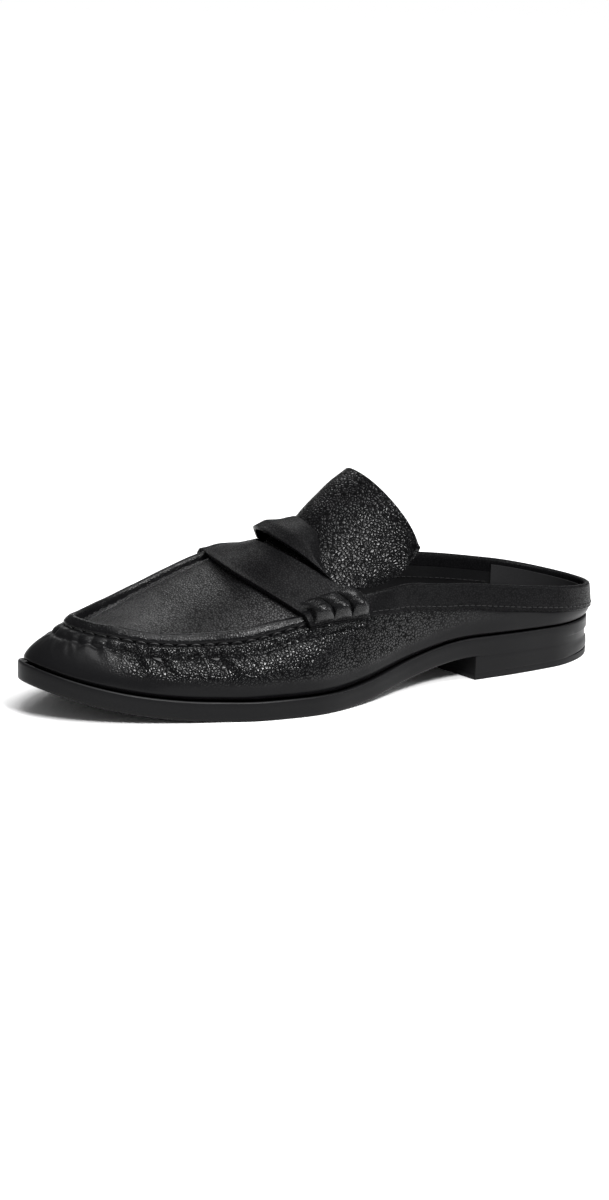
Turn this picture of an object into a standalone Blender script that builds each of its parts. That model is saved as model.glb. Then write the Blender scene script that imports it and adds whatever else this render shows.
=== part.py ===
"""A backless penny loafer for the left foot, modelled piece by piece.

Metres, +X to the toe, +Y to the outer side of the foot, +Z up, standing on the floor at Z = 0.
The sizes come first. The tables hold shares of them, one row for each section from heel to toe.
"""
import math

import bmesh
import bpy
import numpy as np

# Sole
SOLE_LENGTH = 0.268
BALL_WIDTH = 0.0924
SOLE_THICKNESS = 0.0082
TOE_SPRING = 0.0139
TOE_SWING = 0.0055
SEAT_HEIGHT = 0.0103
SEAT_FALL = 0.0013
EDGE_BEVEL = 0.0005
SOLE_STEP_SHARE = 0.34
SOLE_STEP_SLOPE = 0.04

# Heel
BREAST_DISTANCE = 0.0723
BREAST_SKEW = 0.0095
TOP_PIECE_THICKNESS = 0.0028
HEEL_BAND_TOP = 0.0080
HEEL_STEP = 0.0008
HEEL_INSET = 0.0003

# Upper
WALL = 0.0018
INSTEP_RISE = 0.046
FEATHER_INSET = 0.0020
SEAT_FEATHER_INSET = 0.0010
WALL_BULGE = 0.0020
LIP_HEIGHT = 0.0024
BAND_STEP = 0.0009
APRON_CROWN = 0.0165
APRON_BOW = 0.018
APRON_POWER = 2.2
BAND_BLEND = (0.44, 0.52)

# Tongue, strap and rolls
TONGUE_THICKNESS = 0.0022
TONGUE_RUN = 0.033
TONGUE_RISE = 0.0235
TONGUE_EAR_RUN = 0.028
TONGUE_EAR_RISE = 0.015
TONGUE_SPREAD = 0.92
TONGUE_LEAN = 0.009
STRAP_THICKNESS = 0.0018
STRAP_OVERLAP = 0.007
STRAP_LIFT = 0.0032
STRAP_REAR_SETBACK = 0.0021
STRAP_REAR_POWER = 0.7
STRAP_LIFT_POWER = 0.8
SLOT_WIDTH = 0.0030
SLOT_PLACES = (-0.6, 0.8)
STRAP_PLACES = (2.0, 1.87, 1.75, 1.6, 1.45, 1.3, 1.15, 1.0, 0.8, 0.6, 0.45, 0.3, 0.15)
ROLL_OUTER_HEIGHT = 0.0032
ROLL_INNER_HEIGHT = 0.0018
ROLL_GROOVE_SHARE = 0.5
ROLL_COUNT = 3
ROLL_OUTER_SETBACK = 0.014
ROLL_INNER_SETBACK = 0.019
ROLL_TAIL = 0.004
ROLL_POWER = 0.6
ROLL_EDGE_SHARE = 0.35
ROLL_OUTER_PLACES = (0.97, 1.80)
ROLL_INNER_PLACES = (1.60, 2.00)
ROLL_ROWS = 6

# Insole and clearances
INSOLE_THICKNESS = 0.0025
INSOLE_TOE_INSET = 0.0045
GAP = 0.0003
OVERLAY_GAP = 0.0005

# Places along the shoe, as shares of the sole's length
SPRING_START = 0.68
SPRING_CURVE = 2.4
WAIST_START = 0.56
SWING_START = 0.60
SWING_CURVE = 1.5
TOE_LEVEL = 0.93
HEEL_ROUND = 0.115
TOE_ROUND = 0.24
THROAT = 0.49
HEEL_BAND_FADE = 0.13
SPINE_HEEL = 0.11
SPINE_TOE = 0.85
SPINE_BLEND = 0.06

# Half widths of the sole, as shares of the ball width
OUTLINE = (
    ("along", "outer", "inner"),
    (0.00, 0.227, 0.249),
    (0.05, 0.249, 0.271),
    (0.12, 0.281, 0.303),
    (0.20, 0.306, 0.325),
    (0.30, 0.319, 0.308),
    (0.40, 0.366, 0.298),
    (0.50, 0.457, 0.336),
    (0.60, 0.518, 0.417),
    (0.68, 0.501, 0.476),
    (0.76, 0.436, 0.486),
    (0.84, 0.390, 0.468),
    (0.91, 0.372, 0.418),
    (0.96, 0.362, 0.372),
    (1.00, 0.335, 0.330),
)

# The seam and the edge above it: how far in, as shares of the ball width, and how far above
# the sole, as shares of the instep rise. Behind the throat they are the foot of the collar band
# and the topline, and in front of it the moccasin seam and the rim of the apron.
OUTER_WALL = (
    ("along", "seam_in", "seam_up", "edge_in", "edge_up"),
    (0.00, -0.010, 0.067, 0.000, 0.278),
    (0.08, -0.004, 0.130, 0.005, 0.346),
    (0.20, -0.002, 0.217, 0.005, 0.437),
    (0.32, -0.002, 0.317, 0.005, 0.543),
    (0.43, 0.005, 0.509, 0.013, 0.728),
    (0.49, 0.032, 0.578, 0.070, 0.757),
    (0.55, 0.080, 0.583, 0.130, 0.735),
    (0.61, 0.112, 0.526, 0.168, 0.654),
    (0.69, 0.119, 0.430, 0.179, 0.572),
    (0.76, 0.119, 0.400, 0.179, 0.520),
    (0.84, 0.119, 0.374, 0.179, 0.491),
    (0.90, 0.125, 0.358, 0.190, 0.472),
    (0.95, 0.148, 0.315, 0.222, 0.400),
    (1.00, 0.184, 0.250, 0.275, 0.322),
)
INNER_WALL = (
    ("along", "seam_in", "seam_up", "edge_in", "edge_up"),
    (0.00, -0.010, 0.067, 0.000, 0.278),
    (0.08, -0.002, 0.150, 0.006, 0.365),
    (0.20, 0.000, 0.246, 0.005, 0.470),
    (0.32, 0.000, 0.348, 0.006, 0.578),
    (0.43, 0.000, 0.543, 0.009, 0.772),
    (0.49, 0.011, 0.670, 0.032, 0.909),
    (0.55, 0.038, 0.822, 0.092, 0.996),
    (0.61, 0.087, 0.887, 0.146, 1.000),
    (0.65, 0.108, 0.833, 0.168, 0.941),
    (0.72, 0.124, 0.689, 0.189, 0.809),
    (0.77, 0.130, 0.580, 0.198, 0.696),
    (0.83, 0.130, 0.465, 0.200, 0.575),
    (0.90, 0.133, 0.375, 0.208, 0.470),
    (0.95, 0.150, 0.315, 0.232, 0.398),
    (1.00, 0.184, 0.250, 0.275, 0.322),
)

# How full the side wall is between its foot and the seam: how far its middle is pushed out, as
# shares of the wall bulge, and how high that push sits, as shares of the wall
FULLNESS = (
    ("along", "out", "up"),
    (0.00, 1.0, 0.75),
    (0.70, 1.0, 0.75),
    (0.78, 0.6, 0.72),
    (0.85, 0.0, 0.66),
    (0.92, -0.7, 0.60),
    (1.00, -1.4, 0.55),
)

# The apron between its rims: how high its middle stands, as shares of the apron crown, and how
# far forward its middle bows, as shares of the apron bow
APRON = (
    ("along", "crown", "bow"),
    (0.49, 1.00, 1.00),
    (0.52, 0.76, 0.92),
    (0.55, 0.55, 0.82),
    (0.61, 0.34, 0.56),
    (0.65, 0.27, 0.38),
    (0.72, 0.25, 0.14),
    (0.77, 0.21, 0.04),
    (0.84, 0.13, 0.00),
    (0.90, 0.06, 0.00),
    (1.00, 0.00, 0.00),
)

# Raised shape of the strip from the seam (0) to the edge (1), as shares of the lip height in
# front of the throat and of the band step behind it
STRIP = (
    ("share", "lip", "band"),
    (0.00, 0.00, 0.00),
    (0.08, 0.55, 0.90),
    (0.35, 0.95, 1.00),
    (0.60, 1.00, 1.00),
    (0.85, 0.60, 0.95),
    (1.00, 0.00, 0.55),
)

# Tongue's rows from its root (0) to its top (1): how far its middle and its ears have gone, as
# shares of their full run and rise
TONGUE = (
    ("up", "run", "rise", "ear_run", "ear_rise"),
    (0.00, 0.00, 0.00, 0.00, 0.00),
    (0.25, 0.27, 0.27, 0.24, -0.04),
    (0.50, 0.53, 0.50, 0.58, 0.10),
    (0.75, 0.77, 0.76, 0.84, 0.42),
    (1.00, 1.00, 1.00, 1.00, 1.00),
)

# Strap's front edge, slot and rear edge at places across the shoe, as shares of the length
STRAP = (
    ("across", "front", "slot"),
    (-2.0, 0.644, 0.550),
    (-1.0, 0.642, 0.550),
    (0.0, 0.622, 0.5225),
    (1.0, 0.600, 0.513),
    (2.0, 0.594, 0.513),
)

WALL_ROWS = 6
SIDE_COLUMNS = 36
APRON_COLUMNS = 12
TONGUE_ROWS = 9
TONGUE_COLUMNS = 16
HEEL_COLUMNS = 10
STRAP_COLUMNS = 8
ROLL_STEPS = 6
BAND_ROWS = 5
SHARP_ANGLE = 35.0


def smooth_step(low, high, value):
    """Rise from 0 to 1 between two values, level at both ends."""
    share = np.clip((value - low) / (high - low), 0.0, 1.0)
    return share * share * (3.0 - 2.0 * share)


def read(table, column, at):
    """Read one column of a table along a smooth curve that never passes its own values."""
    rows = np.array(table[1:])
    places = rows[:, 0]
    values = rows[:, table[0].index(column)]
    steps = np.diff(places)
    rates = np.diff(values) / steps
    slopes = np.zeros(len(values))
    slopes[0] = rates[0]
    slopes[-1] = rates[-1]
    same = rates[:-1] * rates[1:] > 0.0
    both = np.where(same, rates[:-1] + rates[1:], 1.0)
    slopes[1:-1] = np.where(same, 2.0 * rates[:-1] * rates[1:] / both, 0.0)
    at = np.clip(at, places[0], places[-1])
    cell = np.clip(np.searchsorted(places, at, side="right") - 1, 0, len(steps) - 1)
    step = steps[cell]
    t = (at - places[cell]) / step
    start = (1.0 + 2.0 * t) * (1.0 - t) ** 2 * values[cell]
    end = t * t * (3.0 - 2.0 * t) * values[cell + 1]
    leave = t * (1.0 - t) ** 2 * step * slopes[cell]
    arrive = t * t * (t - 1.0) * step * slopes[cell + 1]
    return start + end + leave + arrive


def breast_share():
    """Place of the heel's breast along the sole."""
    return BREAST_DISTANCE / SOLE_LENGTH


def sole_underside(along):
    """Height of the sole's underside: flat at the ball, sprung at the toe, raised on the heel."""
    toe = np.clip((along - SPRING_START) / (1.0 - SPRING_START), 0.0, 1.0) ** SPRING_CURVE
    waist = smooth_step(0.0, 1.0, (WAIST_START - along) / (WAIST_START - breast_share()))
    fall = np.clip(1.0 - along / breast_share(), 0.0, 1.0)
    return TOE_SPRING * toe + SEAT_HEIGHT * waist - SEAT_FALL * fall


def sole_top(along):
    """Height of the sole's upper face."""
    return sole_underside(along) + SOLE_THICKNESS


def along_at(turn):
    """Share of the length at a turn round the outline: 0 at the heel, 1 at the toe, 2 at the heel."""
    return (1.0 - np.cos(math.pi * turn)) / 2.0


def turn_at(along):
    """Turn on the outer side at a share of the length."""
    return math.acos(1.0 - 2.0 * along) / math.pi


def on_outer(turn):
    """Whether a turn lies on the outer side."""
    return np.mod(turn, 2.0) <= 1.0


def half_width(along, column):
    """Half width of the sole, rounded off at the heel and the toe."""
    heel = 1.0 - np.clip(along / HEEL_ROUND, 0.0, 1.0)
    toe = 1.0 - np.clip((1.0 - along) / TOE_ROUND, 0.0, 1.0)
    ends = np.sqrt(1.0 - heel * heel) * np.sqrt(1.0 - toe * toe)
    return BALL_WIDTH * read(OUTLINE, column, along) * ends


def swing(along):
    """How far the toe turns to the inner side."""
    return TOE_SWING * np.clip((along - SWING_START) / (1.0 - SWING_START), 0.0, 1.0) ** SWING_CURVE


def outline(turn):
    """Point of the sole's outline, seen from above."""
    along = along_at(turn)
    outer = half_width(along, "outer")
    inner = half_width(along, "inner")
    side = np.where(on_outer(turn), outer, -inner)
    return np.stack([along * SOLE_LENGTH, side - swing(along)], axis=-1)


def inward(turn):
    """Direction in plan from the outline to the last's own middle line."""
    along = along_at(turn)
    before_toe = np.logaddexp(0.0, (SPINE_TOE - along) / SPINE_BLEND) * SPINE_BLEND
    spine = SPINE_TOE - before_toe
    past_heel = np.logaddexp(0.0, (spine - SPINE_HEEL) / SPINE_BLEND) * SPINE_BLEND
    spine = SPINE_HEEL + past_heel
    middle = (half_width(spine, "outer") - half_width(spine, "inner")) / 2.0 - swing(spine)
    target = np.stack([spine * SOLE_LENGTH, middle], axis=-1)
    way = target - outline(turn)
    return way / np.linalg.norm(way, axis=-1, keepdims=True)


def inset_point(turn, inset, height):
    """Point moved in from the outline by a distance, at a height."""
    inset = np.broadcast_to(inset, np.shape(turn))
    plan = outline(turn) + inward(turn) * inset[..., None]
    height = np.broadcast_to(height, plan.shape[:-1])
    return np.concatenate([plan, height[..., None]], axis=-1)


def wall_read(turn, column):
    """Read the wall table of the side that a turn lies on."""
    along = along_at(turn)
    return np.where(on_outer(turn), read(OUTER_WALL, column, along), read(INNER_WALL, column, along))


def feather_inset(along):
    """How far the upper's foot stands in from the sole's edge."""
    front = smooth_step(breast_share(), WAIST_START, along)
    return SEAT_FEATHER_INSET + (FEATHER_INSET - SEAT_FEATHER_INSET) * front


def side_wall(turn, place):
    """Point on the smooth side wall: place 1 is the edge, 2 the seam and 3 the foot."""
    along = along_at(turn)
    foot_in = feather_inset(along)
    foot_up = sole_top(along) + GAP
    seam_in = BALL_WIDTH * wall_read(turn, "seam_in")
    seam_up = sole_top(along) + INSTEP_RISE * wall_read(turn, "seam_up")
    if place <= 2.0:
        share = 2.0 - place
        edge_in = BALL_WIDTH * wall_read(turn, "edge_in")
        edge_up = sole_top(along) + INSTEP_RISE * wall_read(turn, "edge_up")
        inset = seam_in + (edge_in - seam_in) * share
        height = seam_up + (edge_up - seam_up) * share
    else:
        share = 3.0 - place
        full_in = foot_in - WALL_BULGE * read(FULLNESS, "out", along)
        full_up = foot_up + (seam_up - foot_up) * read(FULLNESS, "up", along)
        first = (1.0 - share) ** 2
        middle = 2.0 * share * (1.0 - share)
        last = share * share
        inset = first * foot_in + middle * full_in + last * seam_in
        height = first * foot_up + middle * full_up + last * seam_up
    return inset_point(turn, inset, height)


def apron(along, across):
    """Point on the apron: across is -1 at the inner rim and 1 at the outer rim."""
    turn = turn_at(along)
    outer = side_wall(np.array(turn), 1.0)
    inner = side_wall(np.array(2.0 - turn), 1.0)
    point = inner + (outer - inner) * (across + 1.0) / 2.0
    point[2] += APRON_CROWN * read(APRON, "crown", along) * (1.0 - abs(across) ** APRON_POWER)
    point[0] += APRON_BOW * read(APRON, "bow", along) * (1.0 - across * across)
    return point


def tongue(up, across):
    """Point on the tongue: up is 0 at its root and 1 at its top, across -1 to 1."""
    root = apron(THROAT, TONGUE_SPREAD * math.sin(across * math.pi / 2.0))
    middle = math.cos(across * math.pi / 2.0)
    run = TONGUE_RUN * read(TONGUE, "run", up) * middle
    run += TONGUE_EAR_RUN * read(TONGUE, "ear_run", up) * (1.0 - middle)
    rise = TONGUE_RISE * read(TONGUE, "rise", up) * middle
    rise += TONGUE_EAR_RISE * read(TONGUE, "ear_rise", up) * (1.0 - middle)
    lean = TONGUE_LEAN * up * (1.0 - across) / 2.0
    return root + np.array([-run - OVERLAY_GAP, -lean, rise])


def skin(along, place):
    """Point on the smooth outside of the shoe at a signed place, -3 to 3 across."""
    if abs(place) <= 1.0 and along >= THROAT:
        return apron(along, place)
    if abs(place) <= 1.0:
        spread = np.clip(place / TONGUE_SPREAD, -1.0, 1.0)
        up = (THROAT - along) * SOLE_LENGTH / math.hypot(TONGUE_RUN, TONGUE_RISE)
        return tongue(up, math.asin(spread) / (math.pi / 2.0))
    turn = turn_at(along)
    if place < 0.0:
        turn = 2.0 - turn
    return side_wall(np.array(turn), abs(place))


def strip_relief(along, place):
    """How far the lip or the collar band stands out of the smooth wall."""
    share = 2.0 - np.clip(abs(place), 1.0, 2.0)
    lip = LIP_HEIGHT * read(STRIP, "lip", share)
    band = BAND_STEP * read(STRIP, "band", share)
    return band + (lip - band) * smooth_step(*BAND_BLEND, along)


def surface_normals(points, faces):
    """Unit normals of an open surface at its points."""
    mesh = bmesh.new()
    corners = [mesh.verts.new(point) for point in points]
    for face in faces:
        mesh.faces.new([corners[index] for index in face])
    mesh.normal_update()
    normals = np.array([corner.normal[:] for corner in corners])
    mesh.free()
    return normals


def make_object(name, points, faces, material):
    """Make one mesh object with its normals pointing out."""
    data = bpy.data.meshes.new(name)
    data.from_pydata([tuple(point) for point in points], [], faces)
    mesh = bmesh.new()
    mesh.from_mesh(data)
    bmesh.ops.recalc_face_normals(mesh, faces=mesh.faces)
    mesh.to_mesh(data)
    mesh.free()
    data.materials.append(material)
    data.shade_smooth()
    data.set_sharp_from_angle(angle=math.radians(SHARP_ANGLE))
    piece = bpy.data.objects.new(name, data)
    bpy.data.collections["loafer_mule"].objects.link(piece)
    return piece


def shell(name, points, faces, inner, outer, material):
    """Close an open surface into a wall between two distances along its normals."""
    points = np.array(points)
    normals = surface_normals(points, faces)
    outside = points + normals * np.reshape(outer, (-1, 1))
    inside = points + normals * np.reshape(inner, (-1, 1))
    count = len(points)
    walls = [tuple(face) for face in faces]
    walls += [tuple(index + count for index in reversed(face)) for face in faces]
    edges = {}
    for face in faces:
        for start, end in zip(face, face[1:] + face[:1]):
            edges[(start, end)] = True
    rims = [edge for edge in edges if (edge[1], edge[0]) not in edges]
    walls += [(end, start, start + count, end + count) for start, end in rims]
    return make_object(name, np.concatenate([outside, inside]), walls, material)


def grid_faces(rows, columns):
    """Quads of a grid whose points are listed row by row."""
    faces = []
    for row in range(rows - 1):
        for column in range(columns - 1):
            first = row * columns + column
            faces.append((first, first + 1, first + columns + 1, first + columns))
    return faces


def slab(name, loops, has_tip, material):
    """Stack closed loops, bottom first, and close both ends with strips across the shoe.

    A loop starts at the back, runs along the outer side and comes back along the inner side.
    """
    size = len(loops[0])
    side = (size - (2 if has_tip else 1)) // 2
    faces = []
    for level in range(len(loops) - 1):
        for index in range(size):
            following = (index + 1) % size
            low = level * size
            high = low + size
            faces.append((low + index, low + following, high + following, high + index))
    for level in (0, len(loops) - 1):
        base = level * size
        outer = [base + index for index in range(side + 1)]
        inner = [base + (size - index) % size for index in range(side + 1)]
        faces.append((outer[0], outer[1], inner[1]))
        for index in range(1, side):
            faces.append((outer[index], outer[index + 1], inner[index + 1], inner[index]))
        if has_tip:
            faces.append((outer[side], base + side + 1, inner[side]))
    return make_object(name, np.concatenate(loops), faces, material)


def stations():
    """Turns of the columns on the outer side, closer together under the strap."""
    turns = list(np.linspace(0.0, 1.0, SIDE_COLUMNS + 1))
    first = turn_at(THROAT)
    last = turn_at(read(STRAP, "front", -1.0))
    turns = [turn for turn in turns if turn < first - 0.01 or turn > last + 0.01]
    turns += list(np.linspace(first, last, STRAP_COLUMNS))
    return np.array(sorted(turns))


def full_loop():
    """Turns of every column round the shoe, from the back and round to the back again."""
    outer = stations()
    return np.concatenate([outer, 2.0 - outer[-2:0:-1]])


def back_fade(along):
    """1 at the very back, fading out along the heel's sides."""
    return 1.0 - smooth_step(0.0, HEEL_BAND_FADE, along)


def make_outsole(material):
    """Outsole with its bevelled edges, waist, toe spring and the step round its back."""
    turns = full_loop()
    along = along_at(turns)
    step = HEEL_STEP * back_fade(along)
    level = np.zeros(len(turns))
    levels = (
        (0.00, EDGE_BEVEL + step),
        (EDGE_BEVEL / SOLE_THICKNESS, step),
        (SOLE_STEP_SHARE, step),
        (SOLE_STEP_SHARE + SOLE_STEP_SLOPE, level),
        (1.0 - EDGE_BEVEL / SOLE_THICKNESS, level),
        (1.00, EDGE_BEVEL + level),
    )
    base = sole_underside(along)
    loops = [inset_point(turns, inset, base + SOLE_THICKNESS * share) for share, inset in levels]
    return slab("outsole", loops, True, material)


def heel_turns(reach):
    """Turns of a loop round the heel, which its skewed breast closes at a distance from the back."""
    outer_turns = np.linspace(0.0, 1.0, HEEL_COLUMNS + 1)
    outer = outer_turns * turn_at(reach / SOLE_LENGTH)
    inner = outer_turns * turn_at((reach + BREAST_SKEW) / SOLE_LENGTH)
    return np.concatenate([outer, 2.0 - inner[:0:-1]])


def make_heel(material):
    """Heel block between the top piece and the sole, stepped in under the sole at the back."""
    foot = TOP_PIECE_THICKNESS + GAP
    turns = heel_turns(BREAST_DISTANCE)
    along = along_at(turns)
    proud = HEEL_INSET
    stepped = HEEL_INSET + HEEL_STEP * back_fade(along)
    loops = (
        inset_point(turns, stepped, foot),
        inset_point(turns, proud, foot + HEEL_STEP),
        inset_point(turns, proud, HEEL_BAND_TOP - HEEL_STEP),
        inset_point(turns, stepped, HEEL_BAND_TOP),
        inset_point(turns, stepped, sole_underside(along) - GAP),
    )
    return slab("heel", loops, False, material)


def make_top_piece(material):
    """Flat lift that the heel stands on."""
    foot = heel_turns(BREAST_DISTANCE - EDGE_BEVEL)
    side = heel_turns(BREAST_DISTANCE)
    loops = (
        inset_point(foot, HEEL_INSET + EDGE_BEVEL, 0.0),
        inset_point(side, HEEL_INSET, EDGE_BEVEL),
        inset_point(side, HEEL_INSET, TOP_PIECE_THICKNESS),
    )
    return slab("top_piece", loops, False, material)


def make_insole(material):
    """Insole on the outsole, inside the upper's foot."""
    turns = full_loop()
    along = along_at(turns)
    toe = INSOLE_TOE_INSET * smooth_step(SWING_START, TOE_LEVEL, along)
    inset = feather_inset(along) + WALL + OVERLAY_GAP + toe
    foot = sole_top(along) + GAP
    loops = [inset_point(turns, inset, foot + INSOLE_THICKNESS * share) for share in (0.0, 1.0)]
    return slab("insole", loops, True, material)


def make_upper(material):
    """Hollow upper: side walls, collar band, raised lip and apron in one wall."""
    turns = full_loop()
    columns = len(turns)
    along = along_at(turns)
    places = [3.0 - row / WALL_ROWS for row in range(WALL_ROWS)]
    places += [2.0 - row[0] for row in STRIP[1:]]
    points = []
    relief = []
    for place in places:
        points += list(side_wall(turns, place))
        relief += list(strip_relief(along, place) if place <= 2.0 else 0.0 * along)
    faces = []
    for row in range(len(places) - 1):
        for column in range(columns):
            following = (column + 1) % columns
            low = row * columns
            high = low + columns
            faces.append((low + following, low + column, high + column, high + following))
    edge = (len(places) - 1) * columns
    half = len(stations()) - 1
    first = int(np.argmin(np.abs(along[:half] - THROAT)))
    rows = []
    for column in range(first, half):
        inner = [edge + columns - column]
        for step in range(1, APRON_COLUMNS):
            inner.append(len(points))
            points.append(apron(float(along[column]), 2.0 * step / APRON_COLUMNS - 1.0))
            relief.append(0.0)
        rows.append(inner + [edge + column])
    for low, high in zip(rows, rows[1:]):
        for step in range(APRON_COLUMNS):
            faces.append((low[step], high[step], high[step + 1], low[step + 1]))
    tip = edge + half
    for step in range(APRON_COLUMNS):
        faces.append((rows[-1][step], tip, rows[-1][step + 1]))
    inside = np.full(len(points), -WALL)
    return shell("upper", points, faces, inside, relief, material)


def make_tongue(material):
    """Tongue that carries the apron's line up behind the strap."""
    points = []
    for row in range(TONGUE_ROWS):
        for column in range(TONGUE_COLUMNS + 1):
            up = row / (TONGUE_ROWS - 1)
            points.append(tongue(up, 2.0 * column / TONGUE_COLUMNS - 1.0))
    faces = grid_faces(TONGUE_ROWS, TONGUE_COLUMNS + 1)
    inside = np.full(len(points), -TONGUE_THICKNESS)
    return shell("tongue", points, faces, inside, np.zeros(len(points)), material)


def strap_rear(place):
    """Rear edge of the strap, which lies over the tongue's root in the middle."""
    middle = max(0.0, 1.0 - place * place)
    overlap = (STRAP_OVERLAP + STRAP_REAR_SETBACK) * middle ** STRAP_REAR_POWER
    return THROAT + (STRAP_REAR_SETBACK - overlap) / SOLE_LENGTH


def strap_lift(place):
    """How far the strap's rear band arches up over the slot."""
    return STRAP_LIFT * max(0.0, 1.0 - place * place) ** STRAP_LIFT_POWER


def strap_row(place):
    """One row of the strap from front to rear: where each point lies and how far it is lifted.

    The slot parts the row in its middle, and its two lips share one point where it is closed.
    """
    slot_from, slot_to = SLOT_PLACES
    spread = (2.0 * place - slot_from - slot_to) / (slot_to - slot_from)
    half = SLOT_WIDTH / SOLE_LENGTH / 2.0 * max(0.0, 1.0 - spread * spread)
    slot = read(STRAP, "slot", place)
    front = np.linspace(read(STRAP, "front", place), slot + half, BAND_ROWS)
    rear = np.linspace(slot - half, strap_rear(place), BAND_ROWS)
    front_lift = np.zeros(BAND_ROWS)
    rear_lift = np.full(BAND_ROWS, strap_lift(place))
    if half == 0.0:
        rear = rear[1:]
        rear_lift = rear_lift[1:]
        front_lift[-1] = strap_lift(place) / 2.0
    return np.concatenate([front, rear]), np.concatenate([front_lift, rear_lift])


def make_strap(material):
    """Saddle strap over the apron and down both sides, with its lens-shaped slot."""
    places = [-place for place in STRAP_PLACES] + [0.0] + list(reversed(STRAP_PLACES))
    points = []
    inner = []
    rows = []
    for place in places:
        row = []
        for along, lift in zip(*strap_row(place)):
            relief = strip_relief(along, place) if abs(place) > 1.0 else 0.0
            row.append(len(points))
            points.append(skin(along, place))
            inner.append(relief + lift + OVERLAY_GAP)
        if len(row) < 2 * BAND_ROWS:
            row.insert(BAND_ROWS, row[BAND_ROWS - 1])
        rows.append(row)
    faces = []
    for low, high in zip(rows, rows[1:]):
        for first in range(2 * BAND_ROWS - 1):
            if first != BAND_ROWS - 1:
                faces.append((low[first], high[first], high[first + 1], low[first + 1]))
    outer = np.array(inner) + STRAP_THICKNESS
    return shell("saddle_strap", points, faces, inner, outer, material)


def make_roll(name, side, reach, height, setback, material):
    """Rolled end of the strap: a row of padded rolls between whipped grooves."""
    lead = read(STRAP, "front", side) - setback
    tail = THROAT + ROLL_TAIL
    steps = ROLL_COUNT * ROLL_STEPS
    places = np.linspace(reach[0], reach[1], ROLL_ROWS)
    points = []
    inner = []
    outer = []
    for step in range(steps + 1):
        along = lead + (tail - lead) * step / steps
        wave = abs(math.sin(math.pi * step / ROLL_STEPS)) ** ROLL_POWER
        for index, place in enumerate(places):
            base = OVERLAY_GAP + STRAP_THICKNESS + OVERLAY_GAP + strap_lift(place)
            base += strip_relief(along, place) if place > 1.0 else 0.0
            across = (index + ROLL_EDGE_SHARE) / (ROLL_ROWS - 1 + 2.0 * ROLL_EDGE_SHARE)
            round_off = math.sin(math.pi * across) ** ROLL_POWER
            bulge = height * (ROLL_GROOVE_SHARE + (1.0 - ROLL_GROOVE_SHARE) * wave)
            points.append(skin(along, side * place))
            inner.append(base)
            outer.append(base + bulge * round_off)
    faces = grid_faces(steps + 1, len(places))
    if side < 0.0:
        faces = [tuple(reversed(face)) for face in faces]
    return shell(name, points, faces, inner, outer, material)


def make_material(name, colour, roughness):
    """One plain surface finish."""
    material = bpy.data.materials.new(name)
    material.use_nodes = True
    surface = material.node_tree.nodes["Principled BSDF"]
    surface.inputs["Base Color"].default_value = (*colour, 1.0)
    surface.inputs["Roughness"].default_value = roughness
    surface.inputs["Metallic"].default_value = 0.0
    return material


def set_origin(pieces):
    """Move every piece so that the origin is under the middle of the whole shoe."""
    corners = [np.array([vertex.co[:] for vertex in piece.data.vertices]) for piece in pieces]
    low = np.min([cloud.min(axis=0) for cloud in corners], axis=0)
    high = np.max([cloud.max(axis=0) for cloud in corners], axis=0)
    middle = np.array([(low[0] + high[0]) / 2.0, (low[1] + high[1]) / 2.0, low[2]])
    for piece in pieces:
        for vertex in piece.data.vertices:
            vertex.co = [float(value) for value in np.array(vertex.co[:]) - middle]


def main():
    """Clear the file and build every piece of the shoe."""
    for old in list(bpy.data.objects):
        bpy.data.objects.remove(old, do_unlink=True)
    shoe = bpy.data.collections.new("loafer_mule")
    bpy.context.scene.collection.children.link(shoe)
    leather = make_material("grained_leather", (0.012, 0.012, 0.013), 0.42)
    strap_leather = make_material("strap_leather", (0.013, 0.013, 0.014), 0.45)
    rubber = make_material("black_rubber", (0.010, 0.010, 0.010), 0.55)
    lift_rubber = make_material("lift_rubber", (0.008, 0.008, 0.008), 0.65)
    lining = make_material("black_lining", (0.018, 0.018, 0.019), 0.60)
    pieces = [
        make_outsole(rubber),
        make_heel(rubber),
        make_top_piece(lift_rubber),
        make_insole(lining),
        make_upper(leather),
        make_tongue(leather),
        make_strap(strap_leather),
        make_roll(
            "roll_outer", 1.0, ROLL_OUTER_PLACES, ROLL_OUTER_HEIGHT, ROLL_OUTER_SETBACK, strap_leather
        ),
        make_roll(
            "roll_inner", -1.0, ROLL_INNER_PLACES, ROLL_INNER_HEIGHT, ROLL_INNER_SETBACK, strap_leather
        ),
    ]
    set_origin(pieces)


main()
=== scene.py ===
"""A backless penny loafer for the left foot, dressed over its CAD pieces.

Metres, +X to the toe, +Y to the outer side of the foot, +Z up. The leather is laid over the same
last as the solids, so every seam, crease and stitch is placed by the last's own sizes.
"""

import logging
import math
from collections.abc import Callable, Iterator
from contextlib import contextmanager
from dataclasses import dataclass, field
from enum import Enum

import bpy
import numpy as np
from mathutils import Euler, Matrix, Vector


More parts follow.
